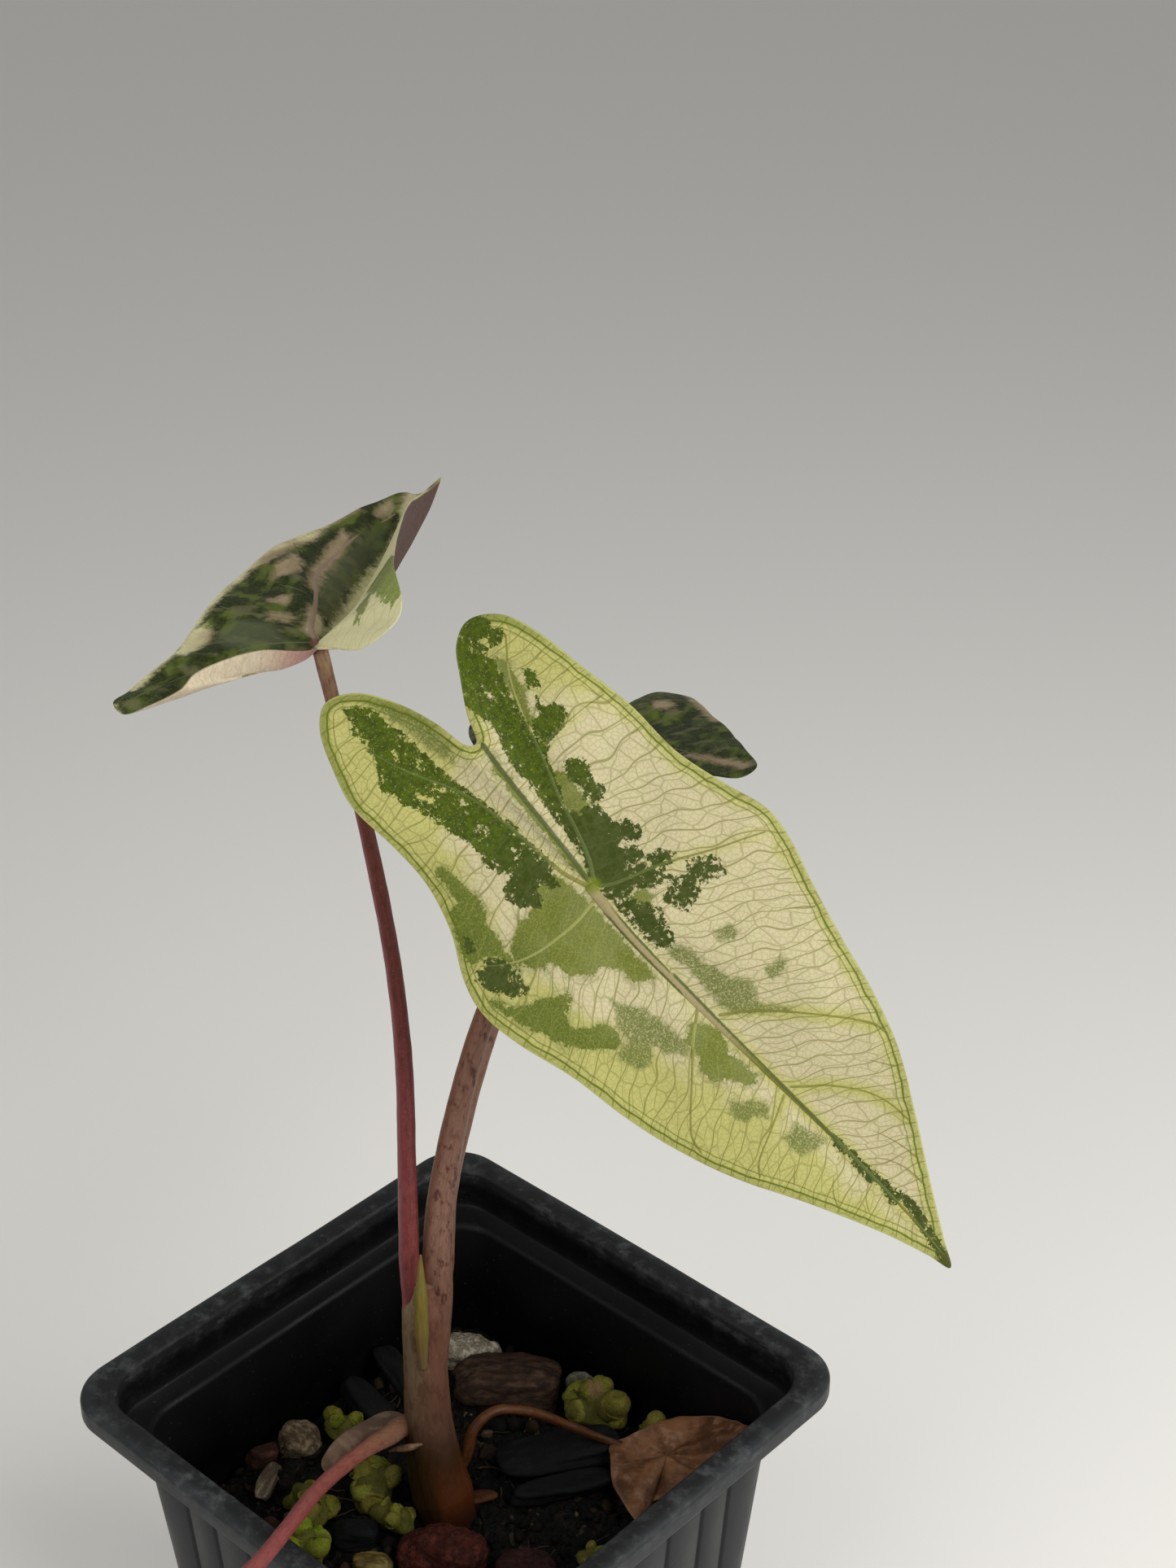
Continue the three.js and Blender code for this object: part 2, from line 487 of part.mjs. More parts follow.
// What lies on the soil.
const TOPPINGS = {
  bark_block: {
    size: [17.5, 9.5, 8.5], at: [-12, 26.2, 63.2], turn: 38, squareness: 3.6, rough: 0.06, seed: 1,
    detail: 2,
  },
  pumice_white: { size: [8.5, 6, 5.5], at: [-26.2, 24.8, 63.2], turn: 30, rough: 0.1, seed: 2 },
  slab_upper: { size: [20, 8, 3.4], at: [5.2, 18.6, 63.3], turn: 58, tilt: 2, squareness: 4, seed: 3 },
  slab_lower: { size: [16, 4.2, 3], at: [11, 13, 62.4], turn: 55, squareness: 3.6, seed: 4 },
  slab_back_upper: {
    size: [12.5, 4.6, 4], at: [-28.2, 13.6, 64.4], turn: -8, tilt: 16, squareness: 3, seed: 5,
  },
  slab_back_lower: {
    size: [12.5, 4.6, 4], at: [-27.8, 5.4, 63.6], turn: -6, tilt: 12, squareness: 3, seed: 6,
  },
  moss_back_large: {
    size: [11.5, 8.5, 7.5], at: [3.1, 30.1, 63.6], turn: 20, rough: 0.14, seed: 7, detail: 2,
  },
  moss_back_small: { size: [7.5, 5.4, 5.4], at: [13.2, 31.6, 63], turn: 20, rough: 0.14, seed: 8 },
  chip_grey: { size: [3.8, 2, 5.2], at: [-3.6, 33.6, 63], turn: 20, rough: 0.04, seed: 9 },
  cork_left: { size: [7, 6, 5.8], at: [-30.4, -8.5, 62.8], turn: 10, rough: 0.12, seed: 10 },
  moss_left: { size: [6, 5.6, 5.4], at: [-27.2, -1.4, 62.6], rough: 0.1, seed: 11 },
  chip_beige_long: {
    size: [10, 3, 3], at: [-27.6, -18, 62.4], turn: -58, tilt: -10, squareness: 3, seed: 12,
  },
  chip_beige_short: { size: [5, 3.6, 3.2], at: [-31.6, -26.4, 62], turn: 30, squareness: 3, seed: 13 },
  chip_red: { size: [5.5, 3.6, 3.8], at: [-32.8, -14.4, 62.2], turn: 70, squareness: 3, seed: 14 },
  chip_brown: { size: [5, 4.4, 4], at: [-18.6, -25, 62.2], turn: 20, squareness: 3, seed: 15 },
  moss_front_tall: {
    size: [10, 6, 6], at: [-13, -8.4, 62.8], turn: -50, rough: 0.14, seed: 16, detail: 2,
  },
  moss_front_left: { size: [8.5, 5.5, 5.5], at: [-18.6, -16.8, 62.6], turn: -30, rough: 0.14, seed: 17 },
  moss_front_bright: {
    size: [9.6, 6, 6], at: [-10.6, -24.8, 62.8], turn: -50, rough: 0.12, seed: 18, detail: 2,
  },
  moss_strip: { size: [7, 3.2, 4], at: [-4.6, -10.4, 62.8], turn: 8, rough: 0.1, seed: 19 },
  slate_front: { size: [7.6, 5, 5], at: [-8.2, -16, 62], turn: 40, squareness: 3, seed: 20 },
  chip_yellow: { size: [6, 3.8, 3.4], at: [-1.6, -18.8, 62.4], turn: 40, rough: 0.1, seed: 21 },
  clay_red: { size: [14, 9, 7.4], at: [7.4, -11.2, 63.4], turn: 42, squareness: 2.4, seed: 22, detail: 2 },
  clay_dark: { size: [9.5, 6, 5.4], at: [17.6, -3.2, 62.8], turn: 45, seed: 23 },
  moss_right: { size: [6.5, 3, 3], at: [23.8, 6.4, 62.4], turn: 60, rough: 0.1, seed: 24 },
  root_nub: { size: [5.4, 3, 2.8], at: [3.6, 3.6, 62.4], turn: 50, tilt: 8, seed: 25 },
};
const TOPPING_COLOURS = {
  bark: 'bark', pumice: 'pumice', slab: 'slate', slate: 'slate', moss: 'moss', chip: 'beige',
  cork: 'beige', clay: 'redClay', root: 'root',
};

const plant = new THREE.Group();

function addMesh(name, geometry, colour, roughness) {
  const material = new THREE.MeshStandardMaterial({ color: colour, roughness, metalness: 0 });
  const mesh = new THREE.Mesh(geometry, material);
  mesh.name = name;
  plant.add(mesh);
  return mesh;
}

addMesh('pot', makePot(), COLOURS.potPlastic, 0.55);
addMesh('crown', tube(CROWN), COLOURS.crown, 0.6);
addMesh('rootstock', makeRootstock(), COLOURS.root, 0.8);

for (const [name, spec] of Object.entries(BLADES)) {
  addMesh(name, blade(spec), spec.colour, 0.5).applyMatrix4(bladeMatrix(spec));
}

const crownCutter = tube(CROWN, CLEARANCE);
for (const [name, spec] of Object.entries(STALKS)) {
  const host = BLADES[spec.blade];
  const bladeCutter = blade(host, BLADE_THICKNESS + 2 * CLEARANCE).applyMatrix4(bladeMatrix(host));
  const stem = tube(spec);
  const whole = spec.paper ? join([stem, blade(spec.paper).applyMatrix4(bladeMatrix(spec.paper))]) : stem;
  addMesh(name, cut(whole, [crownCutter, bladeCutter]), spec.colour, 0.5);
}
addMesh('sheath_tip', cut(tube(SHEATH_TIP), [crownCutter]), COLOURS.sheath, 0.5);

for (const [name, spec] of Object.entries(TOPPINGS)) {
  addMesh(name, lump(spec), COLOURS[TOPPING_COLOURS[name.split('_')[0]]], 0.9);
}
const soilCutters = Object.values(TOPPINGS).map((spec) => lump(spec, CLEARANCE));
addMesh('soil', makeSoil([crownCutter, makeRootstock(CLEARANCE), ...soilCutters]), COLOURS.soil, 1);

export default plant;
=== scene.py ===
import math

import bpy
import numpy as np
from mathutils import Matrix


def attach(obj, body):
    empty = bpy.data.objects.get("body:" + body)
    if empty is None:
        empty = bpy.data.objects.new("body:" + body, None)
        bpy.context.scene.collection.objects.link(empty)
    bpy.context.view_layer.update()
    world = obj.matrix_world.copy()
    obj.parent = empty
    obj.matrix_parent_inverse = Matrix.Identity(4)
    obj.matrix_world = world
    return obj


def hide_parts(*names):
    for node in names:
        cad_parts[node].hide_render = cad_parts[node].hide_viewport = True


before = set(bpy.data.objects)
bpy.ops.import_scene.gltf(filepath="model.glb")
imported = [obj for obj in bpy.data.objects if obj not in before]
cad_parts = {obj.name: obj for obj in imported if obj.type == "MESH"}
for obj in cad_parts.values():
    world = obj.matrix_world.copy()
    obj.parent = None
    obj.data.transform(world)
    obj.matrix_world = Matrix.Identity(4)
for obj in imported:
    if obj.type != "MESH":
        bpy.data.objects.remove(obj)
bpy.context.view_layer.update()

# A potted alocasia with arrow-shaped variegated leaves. Sizes in the dictionaries below are in
# millimetres and are made metres where a mesh is built.
mm = 0.001


# Noise and curves on whole arrays

# Smooth value noise from -1 to 1: random values on a unit lattice, blended by the cubic 3f2 - 2f3.
def latticeNoise(points, seed=0):
    cell = np.floor(points).astype(np.int64)
    f = points - cell
    f = f * f * (3 - 2 * f)
    total = np.zeros(points.shape[:-1])
    for corner in np.ndindex(2, 2, 2):
        at = cell + np.array(corner)
        code = at[..., 0] * 374761393 + at[..., 1] * 668265263 + at[..., 2] * 1442695041 + seed * 69069
        code = ((code & 0xFFFFFFFF) ^ ((code & 0xFFFFFFFF) >> 13)) * 1274126177
        value = ((code ^ (code >> 16)) & 0xFFFF) / 0x7FFF - 1
        weight = np.prod(np.where(np.array(corner) == 1, f, 1 - f), axis=-1)
        total += weight * value
    return total


# Layers of lattice noise, each half as large and half as strong as the one before.
def layeredNoise(points, size, layers=3, seed=0):
    return sum(latticeNoise(points / size * 2**k + 7.3 * k, seed + k) / 2**k for k in range(layers))


# Uniform Catmull-Rom through closed rows, at places t from 0 to 1.
def closedCurve(rows, t):
    rows = np.asarray(rows, float)
    place = np.asarray(t) * len(rows)
    i = np.floor(place).astype(int)
    f = (place - i)[:, None]
    a, b, c, d = [rows[(i + step) % len(rows)] for step in (-1, 0, 1, 2)]
    return 0.5 * (2 * b + (c - a) * f + (2 * a - 5 * b + 4 * c - d) * f**2 + (3 * b - a - 3 * c + d) * f**3)


# Centripetal Catmull-Rom through open points, read at count places that are evenly spaced.
def smoothPath(points, count):
    points = np.asarray(points, float)
    ends = [2 * points[0] - points[1]], [2 * points[-1] - points[-2]]
    p = np.concatenate([ends[0], points, ends[1]])
    gap = np.sqrt(np.linalg.norm(np.diff(p, axis=0), axis=1))
    place = np.linspace(0, len(points) - 1, 60 * len(points))
    i = np.minimum(place.astype(int), len(points) - 2)
    f = (place - i)[:, None]
    a, b, c, d = [p[i + step] for step in range(4)]
    g0, g1, g2 = [gap[i + step][:, None] for step in range(3)]
    leave = ((b - a) / g0 - (c - a) / (g0 + g1) + (c - b) / g1) * g1
    arrive = ((c - b) / g1 - (d - b) / (g1 + g2) + (d - c) / g2) * g1
    fine = (2 * f**3 - 3 * f**2 + 1) * b + (f**3 - 2 * f**2 + f) * leave
    fine += (3 * f**2 - 2 * f**3) * c + (f**3 - f**2) * arrive
    run = np.concatenate([[0], np.cumsum(np.linalg.norm(np.diff(fine, axis=0), axis=1))])
    even = np.linspace(0, run[-1], count)
    return np.stack([np.interp(even, run, fine[:, k]) for k in range(fine.shape[1])], -1)


# Vectors divided by their own length.
def unit(vectors):
    return vectors / np.maximum(np.linalg.norm(vectors, axis=-1, keepdims=True), 1e-12)


# The cubic 3f2 - 2f3 of the share f that a value has come from low to high.
def smoothStep(low, high, value):
    f = np.clip((value - low) / (high - low), 0, 1)
    return f * f * (3 - 2 * f)


# Matrix of a turn by so many degrees from one axis towards another.
def turnMatrix(first, second, degrees):
    angle = math.radians(degrees)
    matrix = np.eye(3)
    matrix[[first, second], [first, second]] = math.cos(angle)
    matrix[second, first] = math.sin(angle)
    matrix[first, second] = -math.sin(angle)
    return matrix


# Distance from points to a chain of straight lines.
def chainDistance(points, chain):
    best = np.full(points.shape[:-1], np.inf)
    for a, b in zip(chain[:-1], chain[1:]):
        step = b - a
        share = np.clip(((points - a) @ step) / max(step @ step, 1e-9), 0, 1)
        best = np.minimum(best, np.linalg.norm(points - a - share[..., None] * step, axis=-1))
    return best


# Signed distance to a closed outline, above zero inside; inside is told by counted crossings.
def insideDistance(points, outline):
    outline = np.asarray(outline, float)
    ring = np.concatenate([outline, outline[:1]])
    crossings = np.zeros(points.shape[:-1], int)
    x, y = points[..., 0], points[..., 1]
    for (ax, ay), (bx, by) in zip(ring[:-1], ring[1:]):
        spans = (ay > y) != (by > y)
        crossings += spans & (x < ax + (y - ay) * (bx - ax) / (by - ay if by != ay else 1))
    return np.where(crossings % 2 == 1, 1, -1) * chainDistance(points, ring)


# The largest signed distance to any of the outlines.
def patchField(points, outlines):
    field = np.full(points.shape[:-1], -20.0)
    for outline in outlines:
        field = np.maximum(field, insideDistance(points, outline))
    return field


# Faces of a grid of rows by columns, closed round its columns; offset is the first point's number.
def gridFaces(rows, columns, offset=0):
    r, c = np.meshgrid(np.arange(rows - 1), np.arange(columns), indexing="ij")
    a = offset + r * columns + c
    b = offset + r * columns + (c + 1) % columns
    return np.stack([a, b, b + columns, a + columns], -1).reshape(-1, 4)


# A fan from one point to a ring of points.
def fanFaces(centre, first, count, turned=False):
    ring = first + np.arange(count)
    after = first + (np.arange(count) + 1) % count
    pair = (after, ring) if turned else (ring, after)
    return np.stack([np.full(count, centre), *pair], -1)


# A closed body from a grid of rings, with a fan at each end round the ring's middle.
def closedGrid(grid):
    rows, columns = grid.shape[:2]
    points = np.concatenate([grid.reshape(-1, 3), grid[:1].mean(1), grid[-1:].mean(1)])
    first, last = len(points) - 2, len(points) - 1
    faces = [
        gridFaces(rows, columns),
        fanFaces(first, 0, columns, turned=True),
        fanFaces(last, (rows - 1) * columns, columns),
    ]
    return points, faces


# Rings on a ball of radius 1, from a share of the half turn below its top to as much above its foot.
def ballGrid(startShare, rows, columns):
    polar = np.linspace(startShare, 1 - startShare, rows) * np.pi
    around = np.linspace(0, 2 * np.pi, columns, endpoint=False)
    flat = np.stack([np.cos(around), np.sin(around), 0 * around], -1)
    return np.sin(polar)[:, None, None] * flat - np.cos(polar)[:, None, None] * np.array([0, 0, 1])


# Values on a grid's rows, carried on to the two middles that closedGrid adds.
def withEnds(values):
    return np.concatenate([values.reshape(-1, *values.shape[2:]), values[:1].mean(1), values[-1:].mean(1)])


# Several bodies put into one mesh, side by side.
def joined(parts):
    points, faces, start = [], [], 0
    for partPoints, partFaces in parts:
        points.append(partPoints)
        faces += [face + start for face in partFaces]
        start += len(partPoints)
    return np.concatenate(points), faces


# A mesh object of the plant: points in millimetres, faces as arrays of quads and triangles.
def makePiece(name, points, faces, material, nodes=(), fields=None, smooth=True):
    mesh = bpy.data.meshes.new(name)
    loops = np.concatenate([face.ravel() for face in faces]).astype(np.int32)
    sizes = np.concatenate([np.full(len(face), face.shape[1]) for face in faces]).astype(np.int32)
    mesh.vertices.add(len(points))
    mesh.vertices.foreach_set("co", (np.asarray(points) * mm).astype(np.float32).ravel())
    mesh.loops.add(len(loops))
    mesh.loops.foreach_set("vertex_index", loops)
    mesh.polygons.add(len(sizes))
    mesh.polygons.foreach_set("loop_start", (np.cumsum(sizes) - sizes).astype(np.int32))
    mesh.polygons.foreach_set("use_smooth", np.full(len(sizes), smooth))
    mesh.update(calc_edges=True)
    mesh.validate()
    for key, values in (fields or {}).items():
        kind, part = ("FLOAT_VECTOR", "vector") if values.ndim == 2 else ("FLOAT", "value")
        layer = mesh.attributes.new(key, kind, "POINT")
        layer.data.foreach_set(part, values.astype(np.float32).ravel())
    piece = bpy.data.objects.new(name, mesh)
    bpy.context.scene.collection.objects.link(piece)
    mesh.materials.append(material)
    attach(piece, "root")
    if nodes:
        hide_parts(*nodes)
    return piece


# A piece from one grid of rings, its fields carried on to the two ends.
def gridPiece(name, grid, material, nodes=(), fields=None):
    points, faces = closedGrid(grid)
    ended = {key: withEnds(values) for key, values in (fields or {}).items()}
    return makePiece(name, points, faces, material, nodes, ended)


# Colours are given as seen, from 0 to 255, and made linear for the shader.
def tint(red, green, blue):
    seen = np.array([red, green, blue]) / 255
    linear = np.where(seen <= 0.04045, seen / 12.92, ((seen + 0.055) / 1.055) ** 2.4)
    return (*linear.tolist(), 1.0)


# Every colour of a dictionary made linear; its other values are passed over.
def tints(colours):
    return {key: tint(*value) for key, value in colours.items() if np.size(value) == 3}


# A material's node graph, with one short call for each kind of node.
class Graph:
    def __init__(self, name, roughness=0.6, specular=0.35):
        self.material = bpy.data.materials.new(name)
        self.material.use_nodes = True
        self.nodes = self.material.node_tree.nodes
        self.links = self.material.node_tree.links
        self.shader = self.nodes["Principled BSDF"]
        self.shader.inputs["Roughness"].default_value = roughness
        self.shader.inputs["Specular IOR Level"].default_value = specular

    def add(self, kind, settings, inputs, output=0):
        node = self.nodes.new(kind)
        for key, value in settings.items():
            setattr(node, key, value)
        for key, value in inputs.items():
            if isinstance(value, bpy.types.NodeSocket):
                self.links.new(value, node.inputs[key])
            else:
                node.inputs[key].default_value = value
        return node.outputs[output]

    def place(self, scale=1000.0):
        where = self.add("ShaderNodeTexCoord", {}, {}, "Object")
        return self.stretch(where, (scale, scale, scale))

    def stretch(self, vector, scale):
        return self.add("ShaderNodeMapping", {}, {"Vector": vector, "Scale": scale})

    def read(self, name, output="Fac"):
        return self.add("ShaderNodeAttribute", {"attribute_name": name}, {}, output)

    def sum(self, a, b):
        return self.add("ShaderNodeMath", {"operation": "ADD"}, {0: a, 1: b})

    def times(self, a, b):
        return self.add("ShaderNodeMath", {"operation": "MULTIPLY"}, {0: a, 1: b})

    def largest(self, a, b):
        return self.add("ShaderNodeMath", {"operation": "MAXIMUM"}, {0: a, 1: b})

    def away(self, value, centre):
        less = self.add("ShaderNodeMath", {"operation": "SUBTRACT"}, {0: value, 1: centre})
        return self.add("ShaderNodeMath", {"operation": "ABSOLUTE"}, {0: less})

    def span(self, value, low, high, start=0.0, end=1.0, soft=True):
        kind = "SMOOTHSTEP" if soft else "LINEAR"
        inputs = {"Value": value, "From Min": low, "From Max": high, "To Min": start, "To Max": end}
        return self.add("ShaderNodeMapRange", {"interpolation_type": kind}, inputs)

    def noise(self, where, size, detail=3.0, rough=0.55, output="Fac"):
        inputs = {"Vector": where, "Scale": 1 / size, "Detail": detail, "Roughness": rough}
        return self.add("ShaderNodeTexNoise", {}, inputs, output)

    def cells(self, where, size, feature="DISTANCE_TO_EDGE", output="Distance", axes="3D"):
        settings = {"feature": feature, "voronoi_dimensions": axes}
        return self.add("ShaderNodeTexVoronoi", settings, {"Vector": where, "Scale": 1 / size}, output)

    def warp(self, where, size, amount):
        drift = self.noise(where, size, 2.0, output="Color")
        kind = "ShaderNodeVectorMath"
        centred = self.add(kind, {"operation": "SUBTRACT"}, {0: drift, 1: (0.5, 0.5, 0.5)})
        scaled = self.add(kind, {"operation": "SCALE"}, {0: centred, "Scale": amount})
        return self.add(kind, {"operation": "ADD"}, {0: where, 1: scaled})

    def mix(self, factor, a, b, kind="MIX"):
        settings = {"data_type": "RGBA", "blend_type": kind}
        return self.add("ShaderNodeMix", settings, {0: factor, 6: a, 7: b}, 2)

    def bump(self, height, depth, strength=1.0):
        inputs = {"Height": height, "Distance": depth * mm, "Strength": strength}
        self.links.new(self.add("ShaderNodeBump", {}, inputs), self.shader.inputs["Normal"])

    def paint(self, colour, roughness=None):
        self.links.new(colour, self.shader.inputs["Base Color"])
        if roughness is not None:
            self.links.new(roughness, self.shader.inputs["Roughness"])
        return self.material


# Leaf blades

frontBulge = 0.4
frontMargin = [  # along, left, lift
    (74.8, -0.3, -3), (71, 1.9, -2.8), (64, 5.8, -2), (54.5, 11.3, -0.5), (46, 15.8, 0.5),
    (38, 18.6, 0), (30, 20.5, -1), (22, 22.6, -1), (15, 24.7, 0), (9, 25.4, 0.5), (2, 23.4, 0.3),
    (-6, 21.6, -0.5), (-15, 21.4, -0.5), (-23, 20.2, 0.3), (-31, 19, 0.5), (-36.5, 17, 0),
    (-39.4, 13, -1), (-38, 9.2, -1), (-33.8, 6.2, 0), (-29.6, 3.6, 1), (-26, 2, 1), (-27, 0.4, 1),
    (-31.7, -0.4, 1), (-37.5, -2.4, 0), (-42.6, -5.6, -1), (-44.8, -9.8, -1.5), (-42.4, -13.2, -1),
    (-37, -15.6, 0), (-31, -17.2, 0.5), (-23, -16.8, 0), (-16, -17.1, -1), (-9, -19.2, -1.5),
    (-3, -22.4, -1), (2.5, -23.8, 0), (9, -23, 0.5), (18, -20.6, 0.3), (27, -19.2, -0.5),
    (35, -17.2, -1), (44, -13.8, -1), (54, -8.6, -1), (64, -4, -2), (71, -1.5, -2.8),
]
# An outline's rows: along, left, bulge of the spoke's middle, lift of the margin.
frontOutline = [[along, left, frontBulge, lift] for along, left, lift in frontMargin]
backLeftOutline = [
    [67.5, 0.5, -5, -1], [57, 1.5, -4, 0.5], [56, 3.5, -3.5, 1], [54.5, 5.5, -3, 1],
    [45.5, 8.5, -2, 1.5], [39.5, 12.5, 0, 0.5], [29, 16.5, 1, 1.5], [20.5, 19.5, 1, 0],
    [7.5, 19.5, 1, 1], [-3, 20, 1, -0.5], [-12.5, 20.5, 1, 0], [-19.5, 22, 0, -0.5],
    [-25, 22, 0, 0.5], [-28, 19, 0, 0.5], [-27, 15.5, -0.5, 2], [-25, 12, -1, 3.5],
    [-22, 11, -2, 4.5], [-19, 9, -2.5, 5], [-15, 6.5, -3, 5], [-9.5, 3.5, -2.5, 3.5],
    [-5, 1.2, -1.2, 1.2], [-3, -1, 0, 0.8], [-6.5, -6, 0, 3], [-14, -11.5, 0, 7.5],
    [-18, -16, 0.5, 12], [-17, -18.2, 1, 14.5], [-15, -18.2, 1, 16.5], [-8, -15.2, 0, 16.5],
    [-0.5, -12.5, -1, 15], [15.5, -8, -2.5, 11.5], [38.5, -2.5, -3.5, 6.5], [53, -0.5, -4, 2.5],
]
backRightOutline = [
    [56, 0, 3, -13], [46, 9, 2.6, -8.5], [36, 15.5, 1.6, -4], [27, 20.5, 1.2, -1], [22, 23.5, 0, 0.5],
    [14, 24, 0, 0.5], [4, 22.5, 0, 0], [-8, 22, 0, -0.5], [-20, 22, 0, 0], [-30, 20.5, 0, -0.5],
    [-34.5, 16.5, 0, -1], [-32, 11.5, 0, -1], [-24, 6.5, 0, 0], [-15, 2, 0, 0.5], [-13.5, 0, 0, 0.5],
    [-15, -2, 0, 0.5], [-25, -9, 0, 0.2], [-33, -15.5, 0, 0.6], [-35.8, -19, 0, 0.6],
    [-33, -21.8, 0, 1], [-26.3, -20.9, 0, 1.4], [-17, -20, 0, 1.1], [-8, -18.8, 0, 0.6],
    [1.5, -17.2, 0.5, 0.1], [9.5, -16, 1.6, -0.3], [18, -14.5, 2.4, -1.1], [28, -12.5, 3, -3.2],
    [40, -9, 3.2, -7.8], [49, -4.5, 3, -11.6],
]
deadOutline = [
    [14, -1.2, 1, 9], [7.4, 5.8, -0.6, 4.5], [0.5, 6.7, 0.8, 2], [-4.7, 4.3, -0.4, 1],
    [-9.7, 3.2, 0.4, -2], [-9.4, -0.6, -0.5, -2], [-8.3, -4.5, 0.6, -3], [-6.1, -8.4, 0.3, -3],
    [-4.4, -10.7, 0, -3.5], [-2.8, -11.7, 0, -4], [-1.2, -7, -0.6, -3], [1.1, -6.9, 0.6, -2],
    [4.9, -5.4, 0.9, -1], [8.7, -3.9, -0.5, 1], [11.2, -3.6, 0.7, 3], [13.4, -3, 0.2, 6],
]

# Dark green areas of the front leaf, along and left.
frontDark = [
    [(-40, 9), (-38.6, 11.2), (-36.6, 11), (-35, 10.9), (-33, 11.3), (-30.5, 10.9), (-27, 9.7),
     (-23, 8.7), (-20.6, 8.4), (-22.3, 9.2), (-22.6, 11), (-24.9, 12.5), (-22.9, 12.2), (-22.6, 13.7),
     (-21.2, 14.1), (-20, 13.8), (-19.2, 12), (-18.8, 8.8), (-17, 7.6), (-13.5, 6), (-11, 4.7),
     (-8.6, 5.4), (-8.8, 6.6), (-7.7, 8.3), (-5.2, 8.3), (-4.6, 7.6), (-3.6, 9.6), (-2, 10.2),
     (-0.7, 9.9), (-0.9, 8.4), (-2, 7.4), (-1.2, 6.4), (0.4, 8.2), (2, 8.1), (1.9, 6.6), (1.2, 5.7),
     (2.5, 5.4), (2.2, 9.4), (3, 10.6), (4.4, 11.4), (5.2, 10.6), (5, 8.8), (6.3, 7.4), (6, 6),
     (4.7, 4.6), (4.9, 2.7), (7, 3.7), (9, 4.7), (11.2, 3.9), (13.2, 3.4), (13.9, 2.5), (13.2, 1.1),
     (11, 0.5), (6, 0.4), (1.5, 0.5), (-0.6, 0.6), (-3, 1.6), (-6, 2.2), (-9, 2.7), (-12.5, 2.9),
     (-16, 3.4), (-20, 3.7), (-22.5, 4.2), (-24.5, 5.1), (-28.2, 5), (-30.6, 4.4), (-34, 5.6)],
    [(-28.8, 13.5), (-27.4, 14.7), (-25.7, 14), (-26, 13), (-27.4, 13)],
    [(-39.6, 10.6), (-39.4, 13.4), (-37.6, 14.9), (-36.2, 14.2), (-34.9, 15.6), (-33.6, 14), (-34.4, 12.8),
     (-36, 13.2), (-36.4, 11.8), (-34.6, 12), (-35.4, 11), (-37.4, 11.2)],
    [(-15.4, 9.8), (-14, 10.8), (-12, 10.9), (-10.5, 10.2), (-9, 10.4), (-8.2, 9.4), (-8.6, 8.2),
     (-10, 7.9), (-11, 8.6), (-13, 8.2), (-15, 8.6)],
    [(6.4, 12.2), (7.4, 14), (8.6, 15), (9.8, 15.4), (11.4, 14.8), (11.2, 13.2), (10.4, 12.6),
     (10.8, 10.4), (11.3, 9.4), (11.3, 8.3), (12, 7.4), (11, 6.8), (9.8, 6.2), (8.6, 5.6), (7.6, 6.4),
     (8.2, 7.4), (6.6, 8.2), (6.2, 9), (7.6, 9.6), (8.4, 11), (7.6, 11.6)],
    [(-40.3, -6.2), (-38, -5.6), (-34, -5), (-30, -4.6), (-26, -4.6), (-22, -3.9), (-18, -3.2),
     (-14, -2.7), (-10, -2.4), (-6, -2.4), (-5.2, -3.1), (-3.2, -3.4), (-3.8, -4.3), (-5, -4.6),
     (-5.2, -6.4), (-3.8, -6.7), (-2.8, -7.6), (-3.8, -8.4), (-4.6, -9.6), (-6.5, -9.8), (-7.8, -9.4),
     (-8.4, -8.2), (-8.8, -7), (-10, -8.2), (-12, -8.6), (-15.5, -8.2), (-17, -8.8), (-20.5, -9.4),
     (-23, -10.2), (-25, -10.6), (-26.5, -11.6), (-28, -11.4), (-30.2, -12.6), (-31.2, -12), (-32, -11),
     (-33.6, -10.2), (-36.2, -9.8), (-37.5, -9.4), (-39.6, -9.8), (-39, -8.8), (-41, -9), (-42.2, -8.6)],
    [(-2.6, -18.4), (-1.8, -17.2), (-0.4, -16.6), (1.6, -16.2), (2.8, -16.6), (4.4, -16.4), (4.6, -17.6),
     (4, -18.8), (2.6, -19.4), (1.6, -20.2), (0, -21), (-1.6, -20.8), (-2.4, -20.2), (-1.4, -19.4)],
    [(-6.8, -18.4), (-5.8, -18), (-4.8, -18.6), (-5, -19.4), (-6.2, -19.2)],
    [(49.2, 0.6), (52, 0.8), (56, 1.2), (59.5, 1.4), (62, 2), (64.2, 2.4), (66, 2.2), (68, 1.8),
     (70, 1.2), (72.5, 0.6), (75, 0.4), (75, -0.6), (71.6, -0.5), (71, -0.1), (69, 0.4), (67.2, 0.6),
     (65.8, 0.4), (64.6, 1.2), (62.8, 1.4), (62.4, 0.2), (61.5, -0.3), (60.4, 0.3), (58.5, 0.7),
     (57.5, -0.2), (55.2, -0.4), (54, 0.2), (52.4, 0.3), (51.4, -0.4), (50.4, 0)],
]
